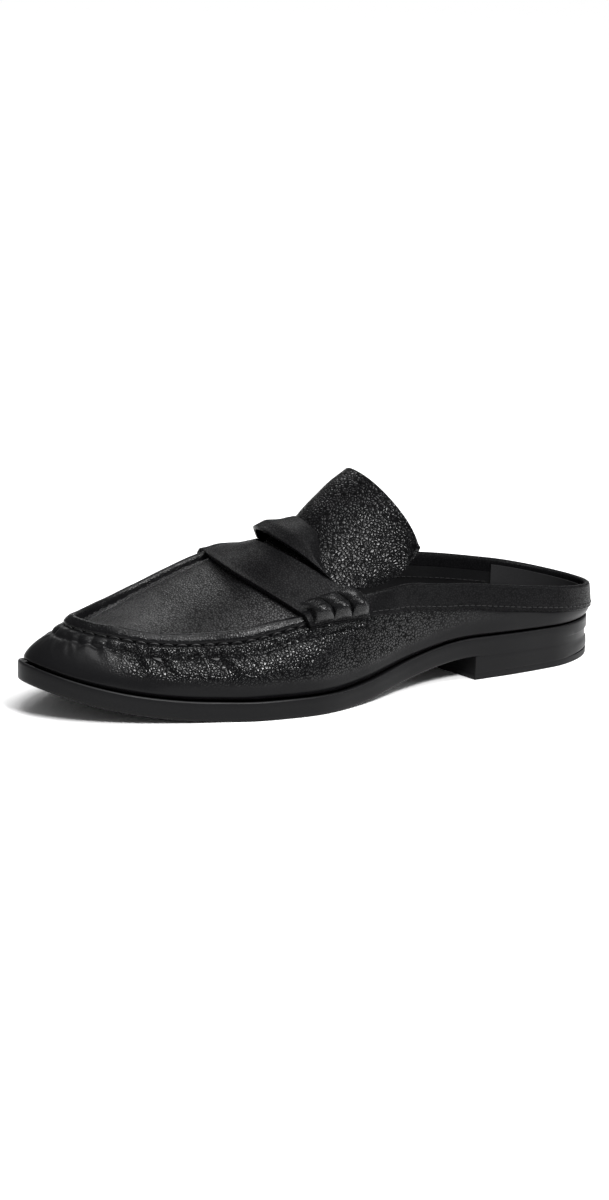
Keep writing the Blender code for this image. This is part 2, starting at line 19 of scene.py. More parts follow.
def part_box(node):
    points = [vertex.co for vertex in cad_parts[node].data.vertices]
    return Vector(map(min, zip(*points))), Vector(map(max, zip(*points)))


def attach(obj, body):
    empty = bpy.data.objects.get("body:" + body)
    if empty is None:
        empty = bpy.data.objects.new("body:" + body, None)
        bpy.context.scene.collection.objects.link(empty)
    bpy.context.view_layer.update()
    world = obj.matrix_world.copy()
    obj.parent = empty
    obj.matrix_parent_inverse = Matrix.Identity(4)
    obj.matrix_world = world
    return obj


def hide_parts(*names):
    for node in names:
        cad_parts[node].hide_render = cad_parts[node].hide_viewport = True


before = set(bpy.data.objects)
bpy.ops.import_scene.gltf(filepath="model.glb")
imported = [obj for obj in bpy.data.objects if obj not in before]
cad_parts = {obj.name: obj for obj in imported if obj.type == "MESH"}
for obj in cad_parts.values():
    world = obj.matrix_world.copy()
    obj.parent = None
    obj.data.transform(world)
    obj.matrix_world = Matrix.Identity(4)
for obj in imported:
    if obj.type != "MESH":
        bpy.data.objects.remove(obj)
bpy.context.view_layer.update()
LOG = logging.getLogger("loafer_mule")
MM = 0.001
MERGE = 1e-5
SLOPE_STEP = 1e-3
TINY = 1e-15

Array = np.ndarray
Table = tuple[tuple, ...]
Colour = tuple[float, float, float]
Piece = bpy.types.Object
Socket = bpy.types.NodeSocket
Surface = Callable[[Array, Array], Array]

# Half widths of the sole, as shares of the ball width
OUTLINE: Table = (
    ("along", "outer", "inner"),
    (0.00, 0.227, 0.249),
    (0.05, 0.249, 0.271),
    (0.12, 0.281, 0.303),
    (0.20, 0.306, 0.325),
    (0.30, 0.319, 0.308),
    (0.40, 0.366, 0.298),
    (0.50, 0.457, 0.336),
    (0.60, 0.518, 0.417),
    (0.68, 0.501, 0.476),
    (0.76, 0.436, 0.486),
    (0.84, 0.390, 0.468),
    (0.91, 0.372, 0.418),
    (0.96, 0.362, 0.372),
    (1.00, 0.335, 0.330),
)

# Seam and edge of the side wall: how far in, as shares of the ball width, and how far up, as
# shares of the instep rise
OUTER_WALL: Table = (
    ("along", "seam_in", "seam_up", "edge_in", "edge_up"),
    (0.00, -0.010, 0.067, 0.000, 0.278),
    (0.08, -0.004, 0.130, 0.005, 0.346),
    (0.20, -0.002, 0.217, 0.005, 0.437),
    (0.32, -0.002, 0.317, 0.005, 0.543),
    (0.43, 0.005, 0.509, 0.013, 0.728),
    (0.49, 0.032, 0.578, 0.070, 0.757),
    (0.55, 0.080, 0.583, 0.130, 0.735),
    (0.61, 0.112, 0.526, 0.168, 0.654),
    (0.69, 0.119, 0.430, 0.179, 0.572),
    (0.76, 0.119, 0.400, 0.179, 0.520),
    (0.84, 0.119, 0.374, 0.179, 0.491),
    (0.90, 0.125, 0.358, 0.190, 0.472),
    (0.95, 0.148, 0.315, 0.222, 0.400),
    (1.00, 0.184, 0.250, 0.275, 0.322),
)
INNER_WALL: Table = (
    ("along", "seam_in", "seam_up", "edge_in", "edge_up"),
    (0.00, -0.010, 0.067, 0.000, 0.278),
    (0.08, -0.002, 0.150, 0.006, 0.365),
    (0.20, 0.000, 0.246, 0.005, 0.470),
    (0.32, 0.000, 0.348, 0.006, 0.578),
    (0.43, 0.000, 0.543, 0.009, 0.772),
    (0.49, 0.011, 0.670, 0.032, 0.909),
    (0.55, 0.038, 0.822, 0.092, 0.996),
    (0.61, 0.087, 0.887, 0.146, 1.000),
    (0.65, 0.108, 0.833, 0.168, 0.941),
    (0.72, 0.124, 0.689, 0.189, 0.809),
    (0.77, 0.130, 0.580, 0.198, 0.696),
    (0.83, 0.130, 0.465, 0.200, 0.575),
    (0.90, 0.133, 0.375, 0.208, 0.470),
    (0.95, 0.150, 0.315, 0.232, 0.398),
    (1.00, 0.184, 0.250, 0.275, 0.322),
)

# How far the wall's middle is pushed out and how high that push sits
FULLNESS: Table = (
    ("along", "out", "up"),
    (0.00, 1.0, 0.75),
    (0.70, 1.0, 0.75),
    (0.78, 0.6, 0.72),
    (0.85, 0.0, 0.66),
    (0.92, -0.7, 0.60),
    (1.00, -1.4, 0.55),
)

# Apron between its rims, as shares of its crown and its bow
APRON: Table = (
    ("along", "crown", "bow"),
    (0.49, 1.00, 1.00),
    (0.52, 0.76, 0.92),
    (0.55, 0.55, 0.82),
    (0.61, 0.34, 0.56),
    (0.65, 0.27, 0.38),
    (0.72, 0.25, 0.14),
    (0.77, 0.21, 0.04),
    (0.84, 0.13, 0.00),
    (0.90, 0.06, 0.00),
    (1.00, 0.00, 0.00),
)

# Tongue's rows, as shares of its full run and rise
TONGUE: Table = (
    ("up", "run", "rise", "ear_run", "ear_rise"),
    (0.00, 0.00, 0.00, 0.00, 0.00),
    (0.25, 0.27, 0.27, 0.24, -0.04),
    (0.50, 0.53, 0.50, 0.58, 0.10),
    (0.75, 0.77, 0.76, 0.84, 0.42),
    (1.00, 1.00, 1.00, 1.00, 1.00),
)

# Strap's front edge and slot across the shoe, as shares of the length
STRAP: Table = (
    ("across", "front", "slot"),
    (-2.0, 0.644, 0.550),
    (-1.0, 0.642, 0.550),
    (0.0, 0.622, 0.5225),
    (1.0, 0.600, 0.513),
    (2.0, 0.594, 0.513),
)

# Strip of the solid from the seam (0) to the edge (1): the lip in front and the band behind
STRIP: Table = (
    ("share", "lip", "band"),
    (0.00, 0.00, 0.00),
    (0.08, 0.55, 0.90),
    (0.35, 0.95, 1.00),
    (0.60, 1.00, 1.00),
    (0.85, 0.60, 0.95),
    (1.00, 0.00, 0.55),
)

# Lip of the apron at places across the side strip, in millimetres out of the wall and upwards,
# and the share of the plug's sinking that it follows
LIP: Table = (
    ("place", "out", "up", "sink"),
    (1.00, 0.00, 0.00, 1.00),
    (1.02, 0.12, 0.35, 0.85),
    (1.05, 0.35, 0.90, 0.45),
    (1.10, 0.80, 1.35, 0.12),
    (1.18, 1.45, 1.40, 0.00),
    (1.30, 2.10, 0.85, 0.00),
    (1.44, 2.25, 0.25, 0.00),
    (1.56, 1.95, 0.00, 0.00),
    (1.63, 1.10, 0.00, 0.00),
    (1.67, -0.10, 0.00, 0.00),
)

# Gathered edge of the vamp under the lip, in millimetres out of the wall
GATHER: Table = (
    ("place", "out"),
    (1.55, 0.20),
    (1.64, 0.55),
    (1.72, 1.25),
    (1.82, 1.70),
    (1.93, 1.85),
    (2.02, 1.65),
    (2.06, 1.20),
    (2.09, 0.55),
    (2.112, -0.35),
    (2.135, -0.65),
    (2.17, -0.30),
    (2.22, 0.00),
)

# Creases that run down from the seam, measured from the toe's tip along it, in millimetres
CREASES: Table = (
    ("from_tip", "lean", "width", "depth", "reach"),
    (5.0, 1.0, 1.3, 0.22, 6.0),
    (11.5, 2.0, 1.4, 0.30, 7.0),
    (19.0, 2.5, 1.6, 0.45, 8.5),
    (26.0, 3.5, 1.7, 0.50, 9.5),
    (33.0, 4.5, 2.2, 0.85, 12.0),
    (42.5, 6.0, 2.6, 1.15, 13.5),
    (50.0, 5.5, 1.8, 0.60, 11.5),
    (56.5, 6.5, 1.9, 0.70, 12.0),
    (65.0, 7.5, 2.8, 1.20, 14.0),
    (74.5, 7.0, 2.2, 0.80, 12.5),
    (83.0, 6.0, 2.0, 0.45, 10.5),
    (92.0, 5.0, 2.4, 0.30, 9.0),
)

# Loops of the sole's edge from below: height as a share of its thickness, how far in, in
# millimetres, and the share of the step behind
SOLE_EDGE: Table = (
    ("up", "inset", "step"),
    (0.00, 6.0, 0.0),
    (0.00, 0.9, 1.0),
    (0.03, 0.35, 1.0),
    (0.08, 0.08, 1.0),
    (0.20, 0.0, 1.0),
    (0.335, 0.0, 1.0),
    (0.355, 0.0, 0.9),
    (0.38, 0.0, 0.0),
    (0.60, 0.0, 0.0),
    (0.90, 0.0, 0.0),
    (0.94, 0.10, 0.0),
    (0.98, 0.32, 0.0),
    (1.00, 0.62, 0.0),
    (1.00, 0.9, 0.0),
    (0.96, 1.2, 0.0),
    (0.86, 1.5, 0.0),
    (0.86, 3.6, 0.0),
    (0.95, 8.0, 0.0),
)

# Loops of the heel block and of the top piece from below, in millimetres: how far in at the
# breast and round the edge, the height, whether it counts from the sole's underside, and the
# share of the step behind
HEEL_BLOCK: Table = (
    ("breast_in", "inset", "height", "from_sole", "step"),
    (0.0, 1.23, 2.8, 0.0, 1.0),
    (0.0, 0.08, 2.8, 0.0, 1.0),
    (0.0, 0.03, 2.9, 0.0, 1.0),
    (0.0, 0.03, 3.6, 0.0, 0.0),
    (0.0, 0.03, 4.5, 0.0, -0.1875),
    (0.0, 0.03, 7.2, 0.0, 0.0),
    (0.0, 0.03, 8.0, 0.0, 1.0),
    (0.0, 0.03, -0.1, 1.0, 1.0),
    (0.0, 0.05, -0.01, 1.0, 1.0),
    (0.0, 1.53, -0.01, 1.0, 1.0),
)
TOP_PIECE: Table = (
    ("breast_in", "inset", "height", "from_sole", "step"),
    (1.5, 1.73, 0.0, 0.0, 0.0),
    (0.4, 0.53, 0.0, 0.0, 0.0),
    (0.1, 0.15, 0.15, 0.0, 0.0),
    (0.0, 0.03, 0.5, 0.0, 0.0),
    (0.0, 0.03, 2.7, 0.0, 0.0),
    (0.05, 0.05, 2.8, 0.0, 0.0),
    (0.3, 0.43, 2.8, 0.0, 0.0),
)

# Loops of the sock's edge from below: how far in, in millimetres, and height as a share of its
# thickness
SOCK_EDGE: Table = (
    ("inset", "up"),
    (0.3, 0.0),
    (0.0, 0.15),
    (0.0, 0.75),
    (0.15, 0.95),
    (0.6, 1.04),
    (2.0, 1.08),
    (2.6, 1.02),
    (3.2, 1.09),
    (6.0, 1.12),
    (12.0, 1.12),
)

# Finishes of the leathers. Pebble and depth are millimetres. Gloss and dull are the roughness of
# the pebbles and of the creases between them, crease is how strongly the creases are dulled and
# darkened with painted shade, taut is the share of grain left where the hide is drawn flat
BLACK: Colour = (0.0040, 0.0040, 0.0044)
DARK: Colour = (0.012, 0.012, 0.013)
HIDES: Table = (
    ("name", "colour", "pebble", "depth", "gloss", "dull", "specular", "coat", "crease", "taut"),
    ("pebbled_leather", BLACK, 1.25, 0.10, 0.17, 0.5, 0.19, 0.15, 1.0, 0.10),
    ("tongue_leather", BLACK, 1.35, 0.10, 0.18, 0.5, 0.13, 0.10, 1.0, 1.0),
    ("folded_leather", BLACK, 1.1, 0.05, 0.20, 0.45, 0.10, 0.06, 0.5, 1.0),
    ("fine_leather", BLACK, 1.1, 0.05, 0.33, 0.50, 0.24, 0.0, 0.75, 1.0),
    ("smooth_leather", BLACK, 1.0, 0.04, 0.36, 0.50, 0.07, 0.0, 0.65, 1.0),
    ("padded_leather", BLACK, 1.0, 0.04, 0.22, 0.45, 0.25, 0.16, 0.5, 1.0),
    ("lining_leather", BLACK, 0.8, 0.015, 0.36, 0.48, 0.35, 0.0, 0.2, 1.0),
    ("heel_grip", DARK, 0.6, 0.02, 0.6, 0.7, 0.4, 0.0, 0.2, 1.0),
)

# Finishes of the rubber and the thread, with texture and depth in millimetres
MOULDED: Table = (
    ("name", "colour", "roughness", "texture", "depth", "specular"),
    ("sole_rubber", BLACK, 0.42, 1.2, 0.02, 0.11),
    ("lift_rubber", BLACK, 0.52, 0.8, 0.03, 0.12),
    ("waxed_thread", BLACK, 0.45, 0.3, 0.05, 0.22),
)


def smooth_step(low: float, high: float, value: Array) -> Array:
    """Rise from 0 to 1 between two values, level at both ends."""
    share = np.clip((value - low) / (high - low), 0.0, 1.0)
    return share * share * (3.0 - 2.0 * share)


def read(table: Table, column: str, at: Array) -> Array:
    """Read one column of a table along a smooth curve that never passes its own values.

    Args:
        table: Rows of numbers under a row of column names.
        column: Name of the column.
        at: Values of the first column to read at.

    Returns:
        The column's values there.
    """
    rows = np.array(table[1:], float)
    places = rows[:, 0]
    values = rows[:, table[0].index(column)]
    steps = np.diff(places)
    rates = np.diff(values) / steps
    slopes = np.zeros(len(values))
    slopes[0] = rates[0]
    slopes[-1] = rates[-1]
    same = rates[:-1] * rates[1:] > 0.0
    both = np.where(same, rates[:-1] + rates[1:], 1.0)
    slopes[1:-1] = np.where(same, 2.0 * rates[:-1] * rates[1:] / both, 0.0)
    at = np.clip(at, places[0], places[-1])
    cell = np.clip(np.searchsorted(places, at, side="right") - 1, 0, len(steps) - 1)
    step = steps[cell]
    t = (at - places[cell]) / step
    start = (1.0 + 2.0 * t) * (1.0 - t) ** 2 * values[cell]
    end = t * t * (3.0 - 2.0 * t) * values[cell + 1]
    leave = t * (1.0 - t) ** 2 * step * slopes[cell]
    arrive = t * t * (t - 1.0) * step * slopes[cell + 1]
    return start + end + leave + arrive


def unit(vectors: Array, least: float = TINY) -> Array:
    """Vectors of length 1 in the same directions."""
    return vectors / np.maximum(np.linalg.norm(vectors, axis=-1, keepdims=True), least)


def draw_tight(rows: Array) -> Array:
    """Average each row of a grid with the rows beside it, and keep the first and the last."""
    inner = (rows[:-2] + 2.0 * rows[1:-1] + rows[2:]) / 4.0
    return np.concatenate([rows[:1], inner, rows[-1:]])


def run_along(line: Array) -> Array:
    """Distance of each point of a line from its first, along the line."""
    steps = np.linalg.norm(np.diff(line, axis=0), axis=1)
    return np.concatenate([[0.0], np.cumsum(steps)])


def round_toe(half: Array) -> Array:
    """Turns round the toe and back on the inner side, from turns of the outer half."""
    return np.concatenate([half, 2.0 - half[-2::-1]])


def round_heel(half: Array) -> Array:
    """Turns from the inner side round the heel to the outer, from turns of the outer half."""
    return np.concatenate([2.0 - half[::-1], half[1:]])


@dataclass
class Last:
    """The last that the shoe is built on, with the places of its seams and edges."""

    length: float = 0.268
    ball: float = 0.0924
    sole: float = 0.0082
    spring: float = 0.0139
    swing: float = 0.0055
    seat: float = 0.0103
    seat_fall: float = 0.0013
    breast: float = 0.0723
    breast_skew: float = 0.0095
    wall: float = 0.0018
    instep: float = 0.046
    feather: float = 0.0020
    seat_feather: float = 0.0010
    bulge: float = 0.0020
    lip: float = 0.0024
    band: float = 0.0009
    crown: float = 0.0165
    crown_power: float = 2.2
    bow: float = 0.018
    gap: float = 0.0003
    overlay: float = 0.0005
    throat: float = 0.49
    throat_lap: float = 0.004
    spring_start: float = 0.68
    spring_curve: float = 2.4
    waist_start: float = 0.56
    swing_start: float = 0.60
    swing_curve: float = 1.5
    heel_round: float = 0.115
    toe_round: float = 0.24
    spine_heel: float = 0.11
    spine_toe: float = 0.85
    spine_blend: float = 0.06
    tongue_run: float = 0.033
    tongue_rise: float = 0.0235
    ear_run: float = 0.028
    ear_rise: float = 0.015
    tongue_spread: float = 0.92
    tongue_lean: float = 0.009
    far_rise: float = 0.0060
    shoulder: float = 0.0013
    shoulder_skew: float = 0.6
    shift: Array = field(default_factory=lambda: np.zeros(3))

    def __post_init__(self) -> None:
        """Find where the solids stand, and measure the seam from the toe's tip."""
        low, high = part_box("outsole")
        side = self.outline(np.linspace(0.0, 1.0, 400))[:, 1].max()
        self.shift = np.array([low.x, high.y - side, 0.0])
        half = 800
        self.seam_turns = np.linspace(0.0, 2.0, 2 * half + 1)
        run = run_along(self.wall_point(self.seam_turns, np.full(2 * half + 1, 2.0)))
        self.seam_run = run[half] - run

    def along_at(self, turn: Array) -> Array:
        """Share of the length at a turn round the outline."""
        return (1.0 - np.cos(math.pi * turn)) / 2.0

    def turn_at(self, along: Array) -> Array:
        """Turn on the outer side at a share of the length."""
        return np.arccos(np.clip(1.0 - 2.0 * np.asarray(along, float), -1.0, 1.0)) / math.pi

    def from_tip(self, turn: Array) -> Array:
        """Distance along the seam from the toe's tip: plus on the outer side, minus on the inner."""
        return np.interp(turn, self.seam_turns, self.seam_run)

    def turn_from_tip(self, distance: Array) -> Array:
        """Turn at a signed distance along the seam from the toe's tip."""
        return np.interp(distance, self.seam_run[::-1], self.seam_turns[::-1])

    def underside(self, along: Array) -> Array:
        """Height of the sole's underside.

        Args:
            along: Shares of the length.

        Returns:
            The heights.
        """
        breast = self.breast / self.length
        rise = np.clip((along - self.spring_start) / (1.0 - self.spring_start), 0.0, 1.0)
        waist = smooth_step(0.0, 1.0, (self.waist_start - along) / (self.waist_start - breast))
        fall = np.clip(1.0 - along / breast, 0.0, 1.0)
        return self.spring * rise**self.spring_curve + self.seat * waist - self.seat_fall * fall

    def sole_top(self, along: Array) -> Array:
        """Height of the sole's upper face."""
        return self.underside(along) + self.sole

    def half_width(self, along: Array, side: str) -> Array:
        """Half width of the sole on one side.

        Args:
            along: Shares of the length.
            side: "outer" or "inner".

        Returns:
            The half widths.
        """
        heel = 1.0 - np.clip(along / self.heel_round, 0.0, 1.0)
        toe = 1.0 - np.clip((1.0 - along) / self.toe_round, 0.0, 1.0)
        ends = np.sqrt(1.0 - heel * heel) * np.sqrt(1.0 - toe * toe)
        return self.ball * read(OUTLINE, side, along) * ends

    def toe_swing(self, along: Array) -> Array:
        """How far the toe turns to the inner side."""
        share = np.clip((along - self.swing_start) / (1.0 - self.swing_start), 0.0, 1.0)
        return self.swing * share**self.swing_curve

    def outline(self, turn: Array) -> Array:
        """Points of the sole's outline, seen from above.

        Args:
            turn: Places round the outline.

        Returns:
            Rows of two coordinates.
        """
        along = self.along_at(turn)
        outer = self.half_width(along, "outer")
        inner = self.half_width(along, "inner")
        side = np.where(np.mod(turn, 2.0) <= 1.0, outer, -inner)
        return np.stack([along * self.length, side - self.toe_swing(along)], axis=-1)

    def inward(self, turn: Array) -> Array:
        """Direction in plan from the outline to the last's middle line.

        Args:
            turn: Places round the outline.

        Returns:
            Rows of two coordinates, each row of length 1.
        """
        along = self.along_at(turn)
        blend = self.spine_blend
        spine = self.spine_toe - np.logaddexp(0.0, (self.spine_toe - along) / blend) * blend
        spine = self.spine_heel + np.logaddexp(0.0, (spine - self.spine_heel) / blend) * blend
        middle = (self.half_width(spine, "outer") - self.half_width(spine, "inner")) / 2.0
        target = np.stack([spine * self.length, middle - self.toe_swing(spine)], axis=-1)
        return unit(target - self.outline(turn))

    def inset_point(self, turn: Array, inset: Array, height: Array) -> Array:
        """Point moved in from the outline by a distance, at a height, where the solids stand.

        Args:
            turn: Places round the outline.
            inset: Distances in from it.
            height: Heights above the floor.

        Returns:
            The points.
        """
        inset = np.broadcast_to(inset, np.shape(turn))
        plan = self.outline(turn) + self.inward(turn) * inset[..., None]
        height = np.broadcast_to(height, plan.shape[:-1])
        return np.concatenate([plan, height[..., None]], axis=-1) + self.shift

    def wall_read(self, turn: Array, column: str) -> Array:
        """Read the wall table of the side that a turn lies on.

        Args:
            turn: Places round the outline.
            column: Name of the table's column.

        Returns:
            The column's values there.
        """
        along = self.along_at(turn)
        outer = read(OUTER_WALL, column, along)
        return np.where(np.mod(turn, 2.0) <= 1.0, outer, read(INNER_WALL, column, along))

    def foot_inset(self, along: Array) -> Array:
        """How far the upper's foot stands in from the sole's edge."""
        front = smooth_step(self.breast / self.length, self.waist_start, along)
        return self.seat_feather + (self.feather - self.seat_feather) * front

    def wall_point(self, turn: Array, place: Array) -> Array:
        """Point on the smooth side wall: place 1 is the edge, 2 the seam and 3 the foot.

        Args:
            turn: Places round the outline.
            place: Places up the wall.

        Returns:
            The points.
        """
        along = self.along_at(turn)
        foot_in = self.foot_inset(along)
        foot_up = self.sole_top(along) + self.gap
        seam_in = self.ball * self.wall_read(turn, "seam_in")
        seam_up = self.sole_top(along) + self.instep * self.wall_read(turn, "seam_up")
        edge_in = self.ball * self.wall_read(turn, "edge_in")
        edge_up = self.sole_top(along) + self.instep * self.wall_read(turn, "edge_up")
        rise = 2.0 - place
        strip_in = seam_in + (edge_in - seam_in) * rise
        strip_up = seam_up + (edge_up - seam_up) * rise
        share = np.clip(3.0 - place, 0.0, 1.0)
        full_in = foot_in - self.bulge * read(FULLNESS, "out", along)
        full_up = foot_up + (seam_up - foot_up) * read(FULLNESS, "up", along)
        first = (1.0 - share) ** 2
        middle = 2.0 * share * (1.0 - share)
        last = share * share
        low_in = first * foot_in + middle * full_in + last * seam_in
        low_up = first * foot_up + middle * full_up + last * seam_up
        above = place <= 2.0
        inset = np.where(above, strip_in, low_in)
        height = np.where(above, strip_up, low_up)
        return self.inset_point(turn, inset, height)

    def apron_point(self, along: Array, across: Array) -> Array:
        """Points on the apron.

        Args:
            along: Shares of the length.
            across: -1 at the inner rim to 1 at the outer rim.

        Returns:
            The points.
        """
        turn = self.turn_at(along)
        edge = np.ones(np.shape(turn))
        outer = self.wall_point(turn, edge)
        inner = self.wall_point(2.0 - turn, edge)
        point = inner + (outer - inner) * ((across + 1.0) / 2.0)[..., None]
        crown = 1.0 - np.abs(across) ** self.crown_power
        point[..., 2] += self.crown * read(APRON, "crown", along) * crown
        point[..., 0] += self.bow * read(APRON, "bow", along) * (1.0 - across * across)
        return point

    def tongue_point(self, up: Array, across: Array) -> Array:
        """Points on the tongue.

        Args:
            up: 0 at its root to 1 at its top.
            across: -1 on the inner side to 1 on the outer.

        Returns:
            The points.
        """
        spread = self.tongue_spread * np.sin(across * math.pi / 2.0)
        root = self.apron_point(np.full(np.shape(spread), self.throat), spread)
        middle = np.cos(across * math.pi / 2.0)
        run = self.tongue_run * read(TONGUE, "run", up) * middle
        run = run + self.ear_run * read(TONGUE, "ear_run", up) * (1.0 - middle)
        rise = self.tongue_rise * read(TONGUE, "rise", up) * middle
        rise = rise + self.ear_rise * read(TONGUE, "ear_rise", up) * (1.0 - middle)
        far = (1.0 - across) / 2.0
        lean = self.tongue_lean * up * far
        rise = rise + self.far_rise * np.sin(math.pi * np.clip(up, 0.0, 1.0)) ** 1.2 * far**1.3
        broad = np.sin(math.pi * far**self.shoulder_skew) ** 2
        rise = rise + self.shoulder * smooth_step(0.5, 1.0, up) * broad
        return root + np.stack([-run - self.overlay, -lean, rise], axis=-1)

    def skin(self, along: Array, place: Array) -> Array:
        """Points on the outside of the shoe.

        Args:
            along: Shares of the length.
            place: Signed places from the inner foot, -3, over the top to the outer foot, 3.

        Returns:
            The points.
        """
        along = np.asarray(along, float)
        place = np.asarray(place, float)
        across = np.clip(place, -1.0, 1.0)
        on_apron = self.apron_point(np.maximum(along, self.throat), across)
        spread = np.clip(place / self.tongue_spread, -1.0, 1.0)
        reach = math.hypot(self.tongue_run, self.tongue_rise)
        up = np.maximum(self.throat - along, 0.0) * self.length / reach
        on_tongue = self.tongue_point(up, np.arcsin(spread) / (math.pi / 2.0))
        turn = self.turn_at(along)
        on_wall = self.wall_point(np.where(place < 0.0, 2.0 - turn, turn), np.abs(place))
        top = np.where((along >= self.throat)[..., None], on_apron, on_tongue)
        return np.where((np.abs(place) <= 1.0)[..., None], top, on_wall)

    def strip_relief(self, along: Array, place: Array) -> Array:
        """How far the solid's lip or collar band stands out of the smooth wall.

        Args:
            along: Shares of the length.
            place: Signed places across.

        Returns:
            The distances.
        """
        share = 2.0 - np.clip(np.abs(place), 1.0, 2.0)
        lip = self.lip * read(STRIP, "lip", share)
        band = self.band * read(STRIP, "band", share)
        front = smooth_step(self.throat - 0.05, self.throat + 0.03, along)
        return np.where(np.abs(place) > 1.0, band + (lip - band) * front, 0.0)


def grid_normals(points: Array, ring: bool) -> Array:
    """Unit normals of a grid of points, columns crossed with rows.

    Args:
        points: Rows by columns of points.
        ring: Whether the last column meets the first.

    Returns:
        One normal for each point.
    """
    if ring:
        across = np.roll(points[:, :-1], -1, axis=1) - np.roll(points[:, :-1], 1, axis=1)
        across = np.concatenate([across, across[:, :1]], axis=1)
    else:
        across = np.gradient(points, axis=1)
    return unit(np.cross(across, np.gradient(points, axis=0)), 1e-12)


def select_only(piece: Piece) -> None:
    """Make one object the only selected and active one.

    Args:
        piece: The object.
    """
    bpy.ops.object.select_all(action="DESELECT")
    piece.select_set(True)
    bpy.context.view_layer.objects.active = piece


@contextmanager
def editing(piece: Piece) -> Iterator[None]:
    """Open a piece's mesh with everything selected, for mesh operators, and close it again.

    Args:
        piece: The piece.
    """
    select_only(piece)
    bpy.ops.object.mode_set(mode="EDIT")
    bpy.ops.mesh.select_all(action="SELECT")
    yield
    bpy.ops.object.mode_set(mode="OBJECT")


def lay_grid(name: str, points: Array, flipped: bool, merge: float = MERGE) -> Piece:
    """Lay a grid of leather over points of the last.

    Args:
        name: Name of the piece.
        points: Rows by columns of points.
        flipped: Whether its faces are turned over to point outwards.
        merge: Distance under which points are joined.

    Returns:
        The new piece.
    """
    rows, columns = points.shape[:2]
    bpy.ops.object.select_all(action="DESELECT")
    bpy.ops.mesh.primitive_grid_add(x_subdivisions=columns - 1, y_subdivisions=rows - 1, size=1.0)
    piece = bpy.context.object
    piece.name = name
    piece.data.name = name
    piece.data.vertices.foreach_set("co", points.reshape(-1))
    lay_pattern(piece, points)
    with editing(piece):
        if flipped:
            bpy.ops.mesh.flip_normals()
        bpy.ops.mesh.remove_doubles(threshold=merge)
    return piece


def lay_pattern(piece: Piece, points: Array) -> None:
    """Give a grid a UV map whose unit is a metre along and up the leather.

    Args:
        piece: The grid.
        points: Rows by columns of its points.
    """
    up = np.linalg.norm(np.diff(points, axis=0), axis=-1)
    u = np.broadcast_to(run_along(points[points.shape[0] // 2]), points.shape[:2])
    v = np.concatenate([np.zeros((1, points.shape[1])), np.cumsum(up, axis=0)])
    corners = np.zeros(len(piece.data.loops), np.int32)
    piece.data.loops.foreach_get("vertex_index", corners)
    flat = np.stack([u.reshape(-1)[corners], v.reshape(-1)[corners]], axis=-1)
    piece.data.uv_layers[0].data.foreach_set("uv", flat.reshape(-1))


def modify(piece: Piece, kind: str, **settings: object) -> None:
    """Add a modifier with its settings and apply it.

    Args:
        piece: The active piece.
        kind: Kind of modifier.
        settings: Its properties.
    """
    bpy.ops.object.modifier_add(type=kind)
    modifier = piece.modifiers[-1]
    for name, value in settings.items():
        setattr(modifier, name, value)
    bpy.ops.object.modifier_apply(modifier=modifier.name)


def thicken(piece: Piece, thickness: float, rounding: float, slots: int = 0) -> None:
    """Give a sheet its wall on the inside and round the rim of that wall.

    Args:
        piece: The sheet.
        thickness: Wall thickness.
        rounding: Width of the rounding along the rim.
        slots: How many material slots further on the inner faces take.
    """
    select_only(piece)
    modify(
        piece,
        "SOLIDIFY",
        thickness=thickness,
        offset=-1.0,
        use_quality_normals=True,
        material_offset=slots,
        material_offset_rim=0,
    )
    if rounding > 0.0:
        corner = math.radians(62.0)
        modify(piece, "BEVEL", width=rounding, segments=2, limit_method="ANGLE", angle_limit=corner)


def close_ends(piece: Piece) -> None:
    """Fill the open loops at the top and the bottom of a ring.

    Args:
        piece: The ring.
    """
    with editing(piece):
        bpy.ops.mesh.select_mode(type="EDGE")
        bpy.ops.mesh.select_all(action="DESELECT")
        bpy.ops.mesh.select_non_manifold(extend=False)
        bpy.ops.mesh.edge_face_add()


def smooth(piece: Piece, degrees: float = 50.0) -> None:
    """Shade a piece smooth up to an angle."""
    select_only(piece)
    bpy.ops.object.shade_smooth_by_angle(angle=math.radians(degrees))


def join(pieces: list[Piece], name: str) -> Piece:
    """Join several objects into one piece.

    Args:
        pieces: What to join.
        name: Name of the piece.

    Returns:
        The joined piece.
    """
    select_only(pieces[0])
    for piece in pieces:
        piece.select_set(True)
    bpy.ops.object.join()
    pieces[0].name = name
    pieces[0].data.name = name
    return pieces[0]


def sheet(
    name: str, points: Array, flipped: bool, wall: float, rounding: float = 0.0, slots: int = 0
) -> Piece:
    """Lay a grid of leather, give it its wall and shade it smooth.

    Args:
        name: Name of the piece.
        points: Rows by columns of points of its outside.
        flipped: Whether its faces are turned over to point outwards.
        wall: Wall thickness.
        rounding: Width of the rounding along the rim.
        slots: How many material slots further on the inner faces take.

    Returns:
        The new piece.
    """
    piece = lay_grid(name, points, flipped)
    thicken(piece, wall, rounding, slots)
    smooth(piece)
    return piece


class Slot(Enum):
    """Names of material slots."""

    GRAINED = "grained_leather"
    STRAP = "strap_leather"
    LINING = "black_lining"
    SOLE = "black_rubber"
    LIFT = "lift_rubber"


def settle(piece: Piece, slot: Slot, *nodes: str) -> None:
    """Ride a finished piece on the shoe, hide the CAD nodes that it stands for and log its faces.

    Args:
        piece: The finished piece.
        slot: Not used.
        nodes: CAD nodes that it replaces.
    """
    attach(piece, "root")
    if nodes:
        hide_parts(*nodes)
    LOG.info("%s: %d faces", piece.name, len(piece.data.polygons))


